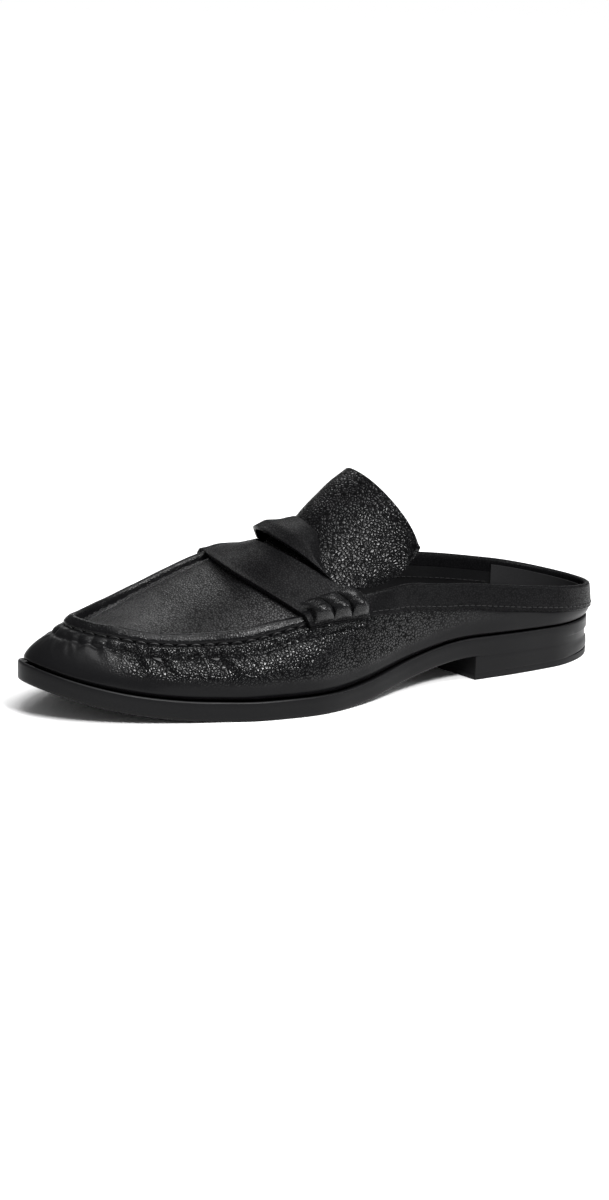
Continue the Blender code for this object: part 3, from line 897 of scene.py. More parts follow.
def placing(place: Array, along: Array, out: Array) -> Matrix:
    """Matrix that lays a stitch at a point of a surface.

    Args:
        place: The point.
        along: Direction of the seam.
        out: Direction out of the surface.

    Returns:
        The matrix.
    """
    first = Vector(along).normalized()
    second = Vector(out).normalized().cross(first).normalized()
    turn = Matrix((first, second, first.cross(second))).transposed()
    return Matrix.Translation(Vector(place)) @ turn.to_4x4()


@dataclass
class Stitch:
    """One thread stitch, modelled once and copied along a seam."""

    length: float
    radius: float
    arch: float
    thinning: float = 0.75
    sunk: float = 0.35

    def model(self) -> Piece:
        """Thread with thin ends and a raised middle.

        Returns:
            The thread, along +X.
        """
        bpy.ops.object.select_all(action="DESELECT")
        bpy.ops.mesh.primitive_cylinder_add(
            vertices=8, radius=self.radius, depth=self.length, rotation=(0.0, math.pi / 2.0, 0.0)
        )
        bpy.ops.object.transform_apply(location=True, rotation=True, scale=True)
        thread = bpy.context.object
        with editing(thread):
            bpy.ops.mesh.select_all(action="DESELECT")
        for edge in thread.data.edges:
            ends = [thread.data.vertices[index].co.x for index in edge.vertices]
            edge.select = abs(ends[0] - ends[1]) > self.length / 2.0
        bpy.ops.object.mode_set(mode="EDIT")
        bpy.ops.mesh.select_mode(type="EDGE")
        bpy.ops.mesh.subdivide(number_cuts=4)
        bpy.ops.object.mode_set(mode="OBJECT")
        for vertex in thread.data.vertices:
            share = vertex.co.x / (self.length / 2.0)
            thin = math.sqrt(max(0.0, 1.0 - self.thinning * share**4))
            vertex.co.y *= thin
            vertex.co.z = vertex.co.z * thin + self.arch * (1.0 - share * share - self.sunk)
        smooth(thread, 60.0)
        return thread

    def sew(self, places: list[Matrix], name: str) -> Piece:
        """Copy the stitch to each place and join the copies into one piece.

        Args:
            places: Where each stitch lies.
            name: Name of the row.

        Returns:
            The row of stitches.
        """
        thread = self.model()
        copies = []
        for place in places:
            mesh = thread.data.copy()
            mesh.transform(place)
            copy = bpy.data.objects.new(name, mesh)
            bpy.context.scene.collection.objects.link(copy)
            copies.append(copy)
        bpy.data.objects.remove(thread)
        return join(copies, name)


def surface_places(
    surface: Surface,
    turns: Array,
    level: float,
    lift: float,
    steps: tuple[float, float] = (SLOPE_STEP, SLOPE_STEP),
) -> list[Matrix]:
    """Where the stitches of a row lie on a surface.

    Args:
        surface: Function from turns and a second coordinate to points.
        turns: Turn of each stitch.
        level: Second coordinate of the row.
        lift: Height above the surface.
        steps: Small steps of both coordinates that find the surface's slope.

    Returns:
        A matrix for each stitch.
    """
    row = np.full(len(turns), level)
    here = surface(turns, row)
    along = surface(turns + steps[0], row) - here
    out = unit(np.cross(along, surface(turns, row + steps[1]) - here))
    return [placing(*stitch) for stitch in zip(here + out * lift, along, out)]


@dataclass
class Upper:
    """Vamp, apron, collar band and lining over the last."""

    last: Last
    vamp_rows: int = 56
    seam_rows: int = 30
    front_columns: int = 330
    back_columns: int = 120
    apron_columns: int = 96
    stitch_pitch: float = 5.7 * MM
    vamp_wall: float = 1.2 * MM
    apron_wall: float = 1.3 * MM
    lip_wall: float = 0.9 * MM
    lining_wall: float = 0.5 * MM
    grip_wall: float = 0.4 * MM
    band_wall: float = 0.7 * MM
    band_pitch: float = 3.0 * MM
    band_seam: float = 1.80
    facing_seam: float = 1.97
    grip_reach: float = 0.115
    stitch_level: float = 1.665
    stitch_reach: float = 0.575
    tuck: float = 0.9 * MM
    pull_power: float = 0.7
    pull_shift: float = 0.042
    pinch: float = 0.32 * MM
    pinch_reach: float = 3.2 * MM
    tucks: int = 60
    crease_lean: float = 0.75
    crease_reach: float = 0.85
    crease_depth: float = 1.25
    wrinkle: float = 0.085 * MM
    sway: float = 0.10 * MM
    tail_sway: float = 0.12 * MM
    sink_outer: float = 0.3 * MM
    sink_inner: float = 1.5 * MM
    ridge_from_rim: float = 2.0 * MM
    ridge_height: float = 0.6 * MM
    ridge_width: float = 0.75 * MM
    hollow_from_rim: float = 3.6 * MM
    hollow_depth: float = 0.12 * MM
    hollow_width: float = 0.8 * MM

    def turns(self, front: int, back: int) -> Array:
        """Columns round the shoe from the back, close together in front of the throat.

        Args:
            front: Columns in front of the throat.
            back: Columns behind it.

        Returns:
            The turns.
        """
        throat = float(self.last.turn_at(self.last.throat))
        behind = np.linspace(0.0, throat, back // 2, endpoint=False)
        return round_toe(np.concatenate([behind, np.linspace(throat, 1.0, front // 2 + 1)]))

    def edge_relief(self, tip: Array, place: Array, below: Array) -> Array:
        """Gathered edge of the vamp, pulled in at every stitch.

        Args:
            tip: Signed distances from the toe's tip along the seam.
            place: Places up the wall.
            below: Distances below the seam.

        Returns:
            Distances out of the smooth wall.
        """
        pull = np.abs(np.sin(math.pi * tip / self.stitch_pitch)) ** self.pull_power
        shifted = place + self.pull_shift * (1.0 - pull) * smooth_step(1.8, 2.0, place)
        relief = read(GATHER, "out", shifted) * MM * (0.72 + 0.28 * pull)
        relief = relief * (0.5 + 0.5 * smooth_step(8.0 * MM, 42.0 * MM, np.abs(tip)))
        strength = 0.5 + np.random.default_rng(7).random(self.tucks)
        index = np.floor(np.abs(tip) / self.stitch_pitch).astype(int)
        pinch = self.pinch * strength[np.clip(index, 0, self.tucks - 1)] * (1.0 - pull)
        return relief - pinch * np.exp(-below / self.pinch_reach) * smooth_step(1.98, 2.05, place)

    def crease_relief(self, tip: Array, place: Array, below: Array) -> Array:
        """Creases that run down from the seam on both sides.

        Args:
            tip: Signed distances from the toe's tip along the seam.
            place: Places up the wall.
            below: Distances below the seam.

        Returns:
            Distances out of the smooth wall.
        """
        relief = np.zeros(np.shape(tip))
        for row in CREASES[1:]:
            start, lean, width, depth, reach = (value * MM for value in row)
            share = np.clip(below / (self.crease_reach * reach), 0.0, 1.4)
            stray = 0.5 * MM * np.sin(below / (1.7 * MM) + start / (3.0 * MM))
            stray = stray + 0.3 * MM * np.sin(below / (0.8 * MM) + start / MM)
            fade = (1.0 - smooth_step(0.35, 1.25, share)) * smooth_step(2.05, 2.13, place)
            for on_side, stretch in ((tip >= 0.0, 1.0), (tip < 0.0, 0.94)):
                centre = start * stretch + self.crease_lean * lean * share
                away = np.abs((np.abs(tip) - centre + stray) / (width * (1.0 + 0.35 * share)))
                banks = 0.28 * np.exp(-((away - 2.1) ** 2) / 1.4)
                profile = banks - np.exp(-(away**1.7))
                relief += on_side * self.crease_depth * depth * profile * fade
        return relief

    def wrinkle_relief(self, tip: Array, place: Array, below: Array) -> Array:
        """Fine wrinkles near the seam, and the soft sway of the wall below them.

        Args:
            tip: Signed distances from the toe's tip along the seam.
            place: Places up the wall.
            below: Distances below the seam.

        Returns:
            Distances out of the smooth wall.
        """
        slant = tip - 0.55 * below * np.sign(tip)
        fine = np.sin(slant / (0.62 * MM)) + np.sin(slant / (0.41 * MM) + np.sin(below / MM))
        fine = fine + 1.2 * np.sin(slant / (0.80 * MM) + 2.0)
        patchy = 0.5 + 0.5 * np.sin(tip / (5.1 * MM) + 0.8) * np.sin(tip / (13.0 * MM))
        fade = np.exp(-((below / (7.0 * MM)) ** 2)) * smooth_step(2.01, 2.08, place)
        wave = np.sin(tip / (8.3 * MM) + 1.0) + 0.7 * np.sin(tip / (4.9 * MM) + below / (4.0 * MM))
        wrinkles = self.wrinkle * fine * patchy * fade
        return wrinkles + self.sway * wave * smooth_step(2.05, 2.3, place)

    def gather(self, turn: Array, place: Array) -> Array:
        """Whole relief of the vamp.

        Args:
            turn: Places round the shoe.
            place: Places up the wall.

        Returns:
            Distances out of the smooth wall.
        """
        last = self.last
        along = last.along_at(turn)
        tip = last.from_tip(turn)
        seam = last.wall_point(turn, np.full(np.shape(turn), 2.0))
        foot = last.wall_point(turn, np.full(np.shape(turn), 3.0))
        below = np.clip(place - 2.0, 0.0, 1.0) * np.linalg.norm(seam - foot, axis=-1)
        front = smooth_step(last.throat - 0.01, last.throat + 0.05, along)
        relief = self.edge_relief(tip, place, below) + self.wrinkle_relief(tip, place, below)
        relief = relief * front + self.crease_relief(tip, place, below)
        relief -= self.tuck * smooth_step(2.93, 3.0, place)
        tail = smooth_step(2.0, 2.4, place) * (1.0 - smooth_step(2.75, 2.95, place))
        return relief + self.tail_sway * np.sin(along * 61.0 + below / (6.0 * MM)) * tail

    def vamp_surface(self, turn: Array, place: Array) -> Array:
        """Points of the vamp's outside.

        Args:
            turn: Places round the shoe.
            place: Places up the wall.

        Returns:
            The points.
        """
        wall = self.last.wall_point(turn, place)
        ahead = self.last.wall_point(turn + SLOPE_STEP, place)
        above = self.last.wall_point(turn, place - SLOPE_STEP)
        return wall + unit(np.cross(above - wall, ahead - wall)) * self.gather(turn, place)[..., None]

    def make_vamp(self) -> Piece:
        """Side wall from the foot up to the seam, gathered in front.

        Returns:
            The vamp.
        """
        turns = self.turns(self.front_columns, self.back_columns)
        low = np.linspace(0.0, 1.0, self.vamp_rows - self.seam_rows, endpoint=False)
        places = np.concatenate([3.0 - 0.78 * low, np.linspace(2.22, 1.56, self.seam_rows)])
        turn, place = np.meshgrid(turns, places)
        base = self.last.wall_point(turn, place)
        points = base - grid_normals(base, True) * self.gather(turn, place)[..., None]
        return sheet("vamp", points, True, self.vamp_wall, 0.3 * MM)

    def apron_relief(self, points: Array, rim: Array) -> Array:
        """Low ridge that runs inside the lip, by distance from the rim.

        Args:
            points: Points of the apron.
            rim: Points of its rim.

        Returns:
            Distances out of the smooth apron.
        """
        flat = points.reshape(-1, 3)
        away = np.full(len(flat), 1.0)
        for start in range(0, len(rim), 40):
            gaps = np.linalg.norm(flat[:, None, :] - rim[None, start : start + 40, :], axis=-1)
            away = np.minimum(away, gaps.min(axis=1))
        ridge = np.exp(-(((away - self.ridge_from_rim) / self.ridge_width) ** 2))
        hollow = np.exp(-(((away - self.hollow_from_rim) / self.hollow_width) ** 2))
        relief = self.ridge_height * ridge - self.hollow_depth * hollow
        return relief.reshape(points.shape[:-1])

    def rim_share(self, along: Array) -> Array:
        """How much of the lip's own rise shows: less under the strap."""
        return 0.25 + 0.75 * smooth_step(0.585, 0.655, along)

    def sink(self, turn: Array) -> Array:
        """How far the plug lies below the last's own edge."""
        side = smooth_step(0.93, 1.07, turn)
        return self.sink_outer + (self.sink_inner - self.sink_outer) * side

    def make_lip(self) -> Piece:
        """Raised and rolled lip of the apron, from under the strap round the toe and back.

        Returns:
            The lip.
        """
        last = self.last
        throat = float(last.turn_at(last.throat + last.throat_lap))
        turns = round_toe(np.linspace(throat, 1.0, 200))
        strip = np.array([row[0] for row in LIP[1:]])
        places = np.interp(np.linspace(0.0, len(strip) - 1.0, 28), np.arange(len(strip)), strip)
        turn, place = np.meshgrid(turns, places[::-1])
        step = 1e-4
        base = last.wall_point(turn, place)
        ahead = last.wall_point(turn + step, place) - last.wall_point(turn - step, place)
        out = unit(np.cross(last.wall_point(turn, place - step) - base, ahead))
        points = base + out * (read(LIP, "out", place) * MM)[..., None]
        lift = read(LIP, "up", place) * MM - self.sink(turn) * read(LIP, "sink", place)
        points[..., 2] += lift * self.rim_share(last.along_at(turn))
        lap = points[-1:].copy()
        lap[0, :, :2] += last.inward(turns) * 0.4 * MM
        lap[..., 2] -= 0.3 * MM
        return sheet("apron_lip", np.concatenate([points, lap]), True, self.lip_wall, 0.3 * MM)

    def make_apron(self) -> Piece:
        """Apron's plug between the rims of its lip.

        Returns:
            The apron.
        """
        last = self.last
        turns = np.linspace(float(last.turn_at(last.throat + last.throat_lap)), 1.0, 200)
        across = np.sin(np.linspace(-1.0, 1.0, self.apron_columns) * math.pi / 2.0)
        along, spread = np.meshgrid(last.along_at(turns), across, indexing="ij")
        plug = last.apron_point(along, spread)
        out = -grid_normals(plug, False)
        out[-1] = out[-2]
        rim_turns = round_toe(turns)
        rim = last.wall_point(rim_turns, np.ones(len(rim_turns)))
        relief = self.apron_relief(plug, rim) * np.sqrt(1.0 - np.abs(spread) ** 8)
        relief = relief * (1.0 - smooth_step(-0.15, 0.35, spread))
        plug = plug + out * relief[..., None]
        outer = self.sink(turns)[:, None]
        inner = self.sink(2.0 - turns)[:, None]
        sink = inner + (outer - inner) * smooth_step(-0.45, 0.55, spread)
        plug[..., 2] -= sink * self.rim_share(along)
        apron = lay_grid("apron", plug, True, 2e-5)
        thicken(apron, self.apron_wall, 0.0)
        smooth(apron)
        return apron

    def make_band(self) -> Piece:
        """Folded collar band over the topline, from the strap round the heel and back.

        Returns:
            The band.
        """
        last = self.last
        throat = float(last.turn_at(last.throat + 0.02))
        turns = round_heel(np.linspace(0.0, throat, 150))
        places = np.concatenate([[2.015, 2.005, 1.99, 1.96], np.linspace(1.9, 1.06, 14), [1.0]])
        turn, place = np.meshgrid(turns, places)
        base = last.wall_point(turn, place)
        normals = -grid_normals(base, False)
        share = 2.0 - place
        out = (0.35 + 0.65 * smooth_step(-0.02, 0.05, share)) * last.band
        out = out - 0.22 * MM * np.exp(-(((share - 0.13) / 0.035) ** 2))
        out = out + 0.10 * MM * np.sin(np.clip(share, 0.0, 1.0) * math.pi)
        points = base + normals * out[..., None]
        up = unit(base[-1] - base[-3])
        radius = (last.wall + last.band) / 2.0
        centre = base[-1] + normals[-1] * (out[-1][:, None] - radius)
        rows = []
        for angle in np.linspace(0.0, math.pi, 8)[1:]:
            fold = normals[-1] * math.cos(angle) + up * math.sin(angle) * 0.8
            rows.append(centre + fold * radius)
        for drop in (0.6, 1.6, 3.0, 4.5, 5.0):
            rows.append(rows[6] - up * drop * MM - normals[-1] * 0.15 * MM)
        points = np.concatenate([points, np.array(rows)])
        return sheet("collar_band", points, True, self.band_wall, 0.2 * MM)

    def make_lining(self) -> Piece:
        """Lining inside the walls and under the apron.

        Returns:
            The lining.
        """
        last = self.last
        turn, place = np.meshgrid(self.turns(120, 80), np.linspace(2.98, 1.06, 16))
        base = last.wall_point(turn, place)
        points = base + grid_normals(base, True) * (last.wall - 0.4 * MM)
        walls = sheet("lining", points, True, self.lining_wall)
        front = np.linspace(float(last.turn_at(last.throat + 0.006)), 0.995, 60)
        along, across = np.meshgrid(last.along_at(front), np.linspace(-1.0, 1.0, 31), indexing="ij")
        plug = last.apron_point(along, across)
        plug = plug + grid_normals(plug, False) * (last.wall - 0.3 * MM)
        plug[..., 2] -= self.sink_inner * (1.0 - smooth_step(-0.45, 0.55, across))
        return join([walls, sheet("lining_top", plug, True, self.lining_wall)], "lining")

    def lip_surface(self, turn: Array, inset: Array) -> Array:
        """Points of the apron beside its rim.

        Args:
            turn: Places round the shoe.
            inset: Distances in from the rim.

        Returns:
            The points.
        """
        last = self.last
        points = last.inset_point(turn, last.ball * last.wall_read(turn, "edge_in") + inset, 0.0)
        rim = last.wall_point(turn, np.ones(len(turn)))
        points[..., 2] = rim[..., 2] - self.sink(turn) * self.rim_share(last.along_at(turn))
        return points

    def hand_stitches(self) -> list[Piece]:
        """Hand stitches in the seam under the lip, and the row inside the lip.

        Returns:
            Both rows.
        """
        last = self.last
        reach = float(last.from_tip(last.turn_at(self.stitch_reach)))
        count = int(reach / self.stitch_pitch)
        tips = (np.arange(-count, count) + 0.5) * self.stitch_pitch
        turns = last.turn_from_tip(tips)
        places = surface_places(self.vamp_surface, turns, self.stitch_level, 0.15 * MM)
        outer = Stitch(4.2 * MM, 0.50 * MM, 0.45 * MM).sew(places, "seam_stitches")
        turns = turns[tips < -4.0 * MM]
        steps = (SLOPE_STEP, -0.1 * MM)
        places = surface_places(self.lip_surface, turns, 0.7 * MM, 0.1 * MM, steps)
        inner = Stitch(3.4 * MM, 0.42 * MM, 0.35 * MM).sew(places, "lip_stitches")
        return [outer, inner]

    def band_stitches(self) -> Piece:
        """Machine stitches along the lower edge of the collar band.

        Returns:
            The row.
        """
        last = self.last
        half = np.linspace(0.0, float(last.turn_at(last.throat - 0.01)), 1200)
        turns = np.concatenate([half[::-1], 2.0 - half[1:]])
        run = run_along(last.wall_point(turns, np.full(len(turns), self.band_seam)))
        order = np.interp(np.arange(0.0, run[-1], self.band_pitch), run, np.arange(len(turns)))
        turns = turns[np.round(order).astype(int)]
        places = surface_places(last.wall_point, turns, self.band_seam, last.band + 0.12 * MM)
        return Stitch(2.1 * MM, 0.22 * MM, 0.12 * MM).sew(places, "band_stitches")

    def lining_stitches(self) -> Piece:
        """Stitches that hold the collar's facing to the lining, on the inner side of the shoe.

        Returns:
            The row.
        """
        last = self.last
        ends = 2.0 - last.turn_at(np.array([0.12, last.throat - 0.02]))
        turns = np.linspace(ends[1], ends[0], 900)
        run = run_along(last.wall_point(turns, np.full(len(turns), self.facing_seam)))
        turns = np.interp(np.arange(0.0, run[-1], self.band_pitch), run, turns)
        depth = -(last.wall + 0.25 * MM)
        places = surface_places(last.wall_point, turns, self.facing_seam, depth)
        return Stitch(2.1 * MM, 0.24 * MM, 0.0).sew(places, "lining_stitches")

    def make_grip(self) -> Piece:
        """Soft patch on the lining behind the heel.

        Returns:
            The patch.
        """
        last = self.last
        turns = round_heel(np.linspace(0.0, float(last.turn_at(self.grip_reach)), 24))
        turn, place = np.meshgrid(turns, np.linspace(2.9, 1.16, 14))
        base = last.wall_point(turn, place)
        points = base + grid_normals(base, False) * (last.wall + 0.25 * MM)
        return sheet("heel_grip", points, True, self.grip_wall)


@dataclass
class Sole:
    """Outsole, heel block and top piece."""

    last: Last
    columns: int = 240
    heel_columns: int = 60
    breast_columns: int = 14
    step: float = 0.8 * MM
    fade: float = 0.10

    def back(self, along: Array) -> Array:
        """1 at the very back, fading out along the heel's sides."""
        return 1.0 - smooth_step(0.0, self.fade, along)

    def make_outsole(self) -> Piece:
        """Outsole with its rounded edges, stepped in round the back.

        Returns:
            The outsole.
        """
        last = self.last
        turns = round_toe(np.linspace(0.0, 1.0, self.columns // 2 + 1))
        along = last.along_at(turns)
        base = last.underside(along)
        front = smooth_step(-0.02, 0.02, along - last.breast / last.length)
        loops = []
        for up, inset, share in SOLE_EDGE[1:]:
            rounding = front if up < 0.2 and inset < 1.0 else 1.0
            out = inset * MM * rounding + self.step * self.back(along) * share
            loops.append(last.inset_point(turns, out, base + last.sole * up))
        outsole = lay_grid("sole", np.array(loops), True)
        close_ends(outsole)
        smooth(outsole, 40.0)
        return outsole

    def heel_turns(self, reach: float) -> Array:
        """Turns round the heel up to its skewed breast.

        Args:
            reach: Distance from the back to the breast on the outer side.

        Returns:
            Turns from the breast's inner corner round the back to its outer corner.
        """
        last = self.last
        shares = np.array([reach, reach + last.breast_skew]) / last.length
        outer, inner = (np.linspace(0.0, float(end), self.heel_columns) for end in last.turn_at(shares))
        return np.concatenate([2.0 - inner[::-1], outer[1:]])

    def heel_loop(self, row: tuple[float, ...]) -> Array:
        """One closed loop of the heel: round the back and straight across the breast.

        Args:
            row: Row of the table of the heel block or of the top piece.

        Returns:
            The loop's points.
        """
        last = self.last
        breast_in, inset, height, from_sole, step = row
        turns = self.heel_turns(last.breast - breast_in * MM)
        along = last.along_at(turns)
        heights = height * MM + from_sole * last.underside(along)
        curve = last.inset_point(turns, inset * MM + step * self.step * self.back(along), heights)
        share = np.linspace(0.0, 1.0, self.breast_columns)[1:-1, None]
        return np.concatenate([curve, curve[-1] + (curve[0] - curve[-1]) * share, curve[:1]])

    def make_heel(self) -> list[Piece]:
        """Heel block with its shallow steps, and the top piece under it.

        Returns:
            Both pieces.
        """
        made = []
        for name, table in (("heel_block", HEEL_BLOCK), ("heel_lift", TOP_PIECE)):
            piece = lay_grid(name, np.array([self.heel_loop(row) for row in table[1:]]), False)
            close_ends(piece)
            with editing(piece):
                bpy.ops.mesh.normals_make_consistent(inside=False)
            smooth(piece, 40.0)
            made.append(piece)
        return made


@dataclass
class Insole:
    """Sock that the foot stands on."""

    last: Last
    columns: int = 200
    thickness: float = 2.5 * MM
    toe_in: float = 4.5 * MM
    level: float = 0.93
    seam_in: float = 2.6 * MM
    seam_up: float = 1.05
    seam_reach: float = 0.45
    seam_margin: float = 2.0 * MM
    pitch: float = 3.1 * MM

    def loop(self, turns: Array, inset: float, up: float) -> Array:
        """Points at one level of the sock.

        Args:
            turns: Places round the outline.
            inset: How far in from the sock's edge.
            up: Height, as a share of the thickness.

        Returns:
            The points.
        """
        last = self.last
        along = last.along_at(turns)
        toe = self.toe_in * smooth_step(last.swing_start, self.level, along)
        edge = last.foot_inset(along) + last.wall + 0.3 * MM + toe
        height = last.sole_top(along) + last.gap + self.thickness * up
        return last.inset_point(turns, edge + inset, height)

    def make(self) -> list[Piece]:
        """Sock with rounded edges and the stitch line near its rim.

        Returns:
            The sock and its stitches.
        """
        turns = round_toe(np.linspace(0.0, 1.0, self.columns // 2 + 1))
        loops = [self.loop(turns, inset * MM, up) for inset, up in SOCK_EDGE[1:]]
        sock = lay_grid("sock", np.array(loops), True)
        close_ends(sock)
        smooth(sock)
        turns = round_heel(np.linspace(0.0, float(self.last.turn_at(self.seam_reach)), 400))
        line = self.loop(turns, self.seam_in, self.seam_up)
        run = run_along(line)
        spots = np.arange(self.seam_margin, run[-1] - self.seam_margin, self.pitch)
        here, ahead = (
            np.stack([np.interp(place, run, line[:, axis]) for axis in range(3)], axis=-1)
            for place in (spots, spots + 0.5 * MM)
        )
        out = np.array([0.0, 0.0, 1.0])
        places = [placing(*pair, out) for pair in zip(here, ahead - here)]
        return [sock, Stitch(2.3 * MM, 0.26 * MM, 0.12 * MM).sew(places, "sock_stitches")]


@dataclass
class Tongue:
    """Tongue that flares up behind the strap."""

    last: Last
    rows: int = 60
    columns: int = 90
    thickness: float = 2.1 * MM
    root: float = 9.0 * MM
    bed: float = 0.5 * MM
    wave: float = 0.35 * MM

    def make(self) -> Piece:
        """Tongue with a soft wave, a rounded rim and a lined back.

        Returns:
            The tongue.
        """
        last = self.last
        columns = np.linspace(-1.0, 1.0, self.columns)
        up, across = np.meshgrid(np.linspace(0.0, 1.0, self.rows), columns, indexing="ij")
        root = np.linspace(self.root, 0.0, 12, endpoint=False)
        ahead, beside = np.meshgrid(root, columns, indexing="ij")
        spread = last.tongue_spread * np.sin(beside * math.pi / 2.0)
        under = last.apron_point(last.throat + ahead / last.length, spread)
        under[..., 0] -= last.overlay * (1.0 - ahead / self.root)
        points = np.concatenate([under, last.tongue_point(up, across)])
        rise = np.concatenate([np.zeros(ahead.shape), up])
        side = np.concatenate([beside, across])
        wave = self.wave * np.sin(rise * 5.0 + side * 2.2) * rise
        wave = wave + 0.4 * self.wave * np.sin(side * 9.0 + rise * 4.0) * np.sin(rise * math.pi)
        wave = wave + self.bed * (1.0 - smooth_step(0.0, 0.12, rise))
        points = points + grid_normals(points, False) * wave[..., None]
        return sheet("tongue_flap", points, False, self.thickness, 0.5 * MM, 1)


@dataclass(frozen=True)
class Roll:
    """Row of padded rolls: side 1 is the outer one, -1 the inner; top and bottom are places."""

    name: str
    side: float
    top: float
    bottom: float
    height: float
    setback: float
    rows: int = 26
    columns: int = 100


ROLLS = {
    "roll_outer": Roll("roll_outer_pad", 1.0, 0.89, 1.93, 5.0 * MM, 0.0115),
    "roll_inner": Roll("roll_inner_pad", -1.0, 1.60, 2.00, 1.8 * MM, 0.019),
}


@dataclass
class Strap:
    """Saddle strap with its slot, and the padded rolls at its ends."""

    last: Last
    thickness: float = 1.8 * MM
    overlap: float = 7.0 * MM
    lift: float = 3.2 * MM
    lift_power: float = 0.8
    far_lift: float = 1.3
    lie_down: float = 1.0
    easing: int = 60
    evening: int = 30
    setback: float = 2.1 * MM
    rear_power: float = 0.7
    slot_width: float = 3.4 * MM
    slot_places: tuple[float, float] = (-0.9, 0.8)
    edge_rise: float = 0.55 * MM
    edge_width: float = 1.7 * MM
    rear_fall: float = 0.9 * MM
    rear_width: float = 1.2 * MM
    slot_margin: float = 0.0042
    bottom: float = 2.03
    band_rows: int = 24
    roll_wall: float = 0.8 * MM
    roll_sunk: float = 0.5 * MM

    def rear(self, place: Array) -> Array:
        """Rear edge of the strap.

        Args:
            place: Places across.

        Returns:
            Shares of the length.
        """
        middle = np.maximum(0.0, 1.0 - place * place)
        overlap = (self.overlap + self.setback) * middle**self.rear_power
        return self.last.throat + (self.setback - overlap) / self.last.length

    def slot_spread(self, place: Array) -> Array:
        """Places across the shoe as shares of the slot's own reach, -1 to 1 between its ends."""
        start, end = self.slot_places
        return (2.0 * place - start - end) / (end - start)

    def slot_half(self, place: Array) -> Array:
        """Half the slot's width, as a share of the length."""
        spread = self.slot_spread(place)
        return self.slot_width / self.last.length / 2.0 * np.maximum(0.0, 1.0 - spread * spread)

    def cut_rear(self, place: Array) -> Array:
        """Rear edge as it is cut: it runs into the slot's outer end and leaves the tongue bare.

        Args:
            place: Places across.

        Returns:
            Shares of the length.
        """
        near = read(STRAP, "slot", place) - self.slot_half(place) - self.slot_margin
        share = smooth_step(0.25, 0.78, place) * (1.0 - smooth_step(0.93, 1.06, place))
        return self.rear(place) + (near - self.rear(place)) * share

    def arch(self, place: Array) -> Array:
        """How far the strap's rear band arches up over the slot."""
        far = 1.0 + self.far_lift * (1.0 - smooth_step(-0.65, 0.10, place))
        return self.lift * far * np.maximum(0.0, 1.0 - place * place) ** self.lift_power

    def bands(self, place: Array) -> tuple[Array, Array, Array, Array]:
        """Front and rear bands at places across the shoe.

        Args:
            place: Places across.

        Returns:
            Where the points of the front band lie and how far they are lifted, then the rear's.
        """
        half = self.slot_half(place)
        slot = read(STRAP, "slot", place)
        lead = read(STRAP, "front", place)
        tail = self.cut_rear(place)
        share = np.linspace(0.0, 1.0, self.band_rows)[:, None]
        front = lead * (1.0 - share) + (slot + half) * share
        rear = (slot - half) * (1.0 - share) + tail * share
        closed = smooth_step(0.85, 1.12, np.abs(self.slot_spread(place)))
        from_front = share * (lead - slot) * self.last.length / self.edge_width
        front_lift = self.arch(place) * 0.5 * closed * share**2
        front_lift = front_lift + self.edge_rise * np.exp(-(from_front**2))
        down = 1.0 - self.lie_down * smooth_step(0.35, 1.05, share)
        from_rear = (1.0 - share) * (slot - tail) * self.last.length / self.rear_width
        rear_lift = self.arch(place) * (1.0 - 0.5 * closed * (1.0 - share) ** 2) * down
        return front, front_lift, rear, rear_lift - self.rear_fall * np.exp(-(from_rear**2))

    def make(self) -> Piece:
        """Strap over the apron and down both sides.

        The rear band is drawn tight between its long edges, as leather bridges a hollow.

        Returns:
            The strap.
        """
        last = self.last
        half = np.concatenate([np.linspace(0.0, 1.0, 61), np.linspace(1.0, self.bottom, 41)[1:]])
        place = np.concatenate([-half[::-1], half[1:]])
        front, front_lift, rear, rear_lift = self.bands(place)
        across = np.broadcast_to(place, front.shape)
        bases = [last.skin(front, across), last.skin(rear, across)]
        for _ in range(self.easing):
            bases[1] = draw_tight(bases[1])
        outs = [grid_normals(base, False) for base in bases]
        for _ in range(self.evening):
            outs = [unit(draw_tight(out)) for out in outs]
        outs[0][-1] = outs[1][0] = unit(outs[0][-1] + outs[1][0])
        sheets = []
        for along, lift, base, out in zip((front, rear), (front_lift, rear_lift), bases, outs):
            relief = last.strip_relief(along, across) + lift + last.overlay + self.thickness
            sheets.append(lay_grid("strap", base + out * relief[..., None], False))
        strap = join(sheets, "strap")
        with editing(strap):
            bpy.ops.mesh.remove_doubles(threshold=MERGE)
        thicken(strap, self.thickness, 0.45 * MM)
        smooth(strap)
        return strap

    def roll_surface(self, roll: Roll) -> Array:
        """Points of a row of three padded rolls.

        Args:
            roll: Sizes of the row.

        Returns:
            Rows by columns of points.
        """
        last = self.last
        lead = float(read(STRAP, "front", np.array(roll.side))) - roll.setback
        tail = last.throat + last.throat_lap
        rows = np.linspace(0.0, 1.0, roll.rows)
        share, run = np.meshgrid(rows, np.linspace(0.0, 1.0, roll.columns), indexing="ij")
        along = lead + (tail - lead) * run
        place = roll.top + (roll.bottom - roll.top) * share
        base = last.skin(along, roll.side * place)
        out = -roll.side * grid_normals(base, False)
        beat = np.abs(np.sin(math.pi * run * 3.0)) ** 0.6
        tip = np.sqrt(smooth_step(0.0, 0.07, np.minimum(run, 1.0 - run)))
        round_off = np.maximum(0.0, 1.0 - np.abs(2.0 * share - 1.0) ** 2.0) ** 0.5
        stand = last.strip_relief(along, place) + last.overlay + self.thickness - self.roll_sunk
        stand = stand + 0.5 * self.arch(place) + roll.height * (0.30 + 0.78 * beat) * round_off * tip
        return base + out * stand[..., None]

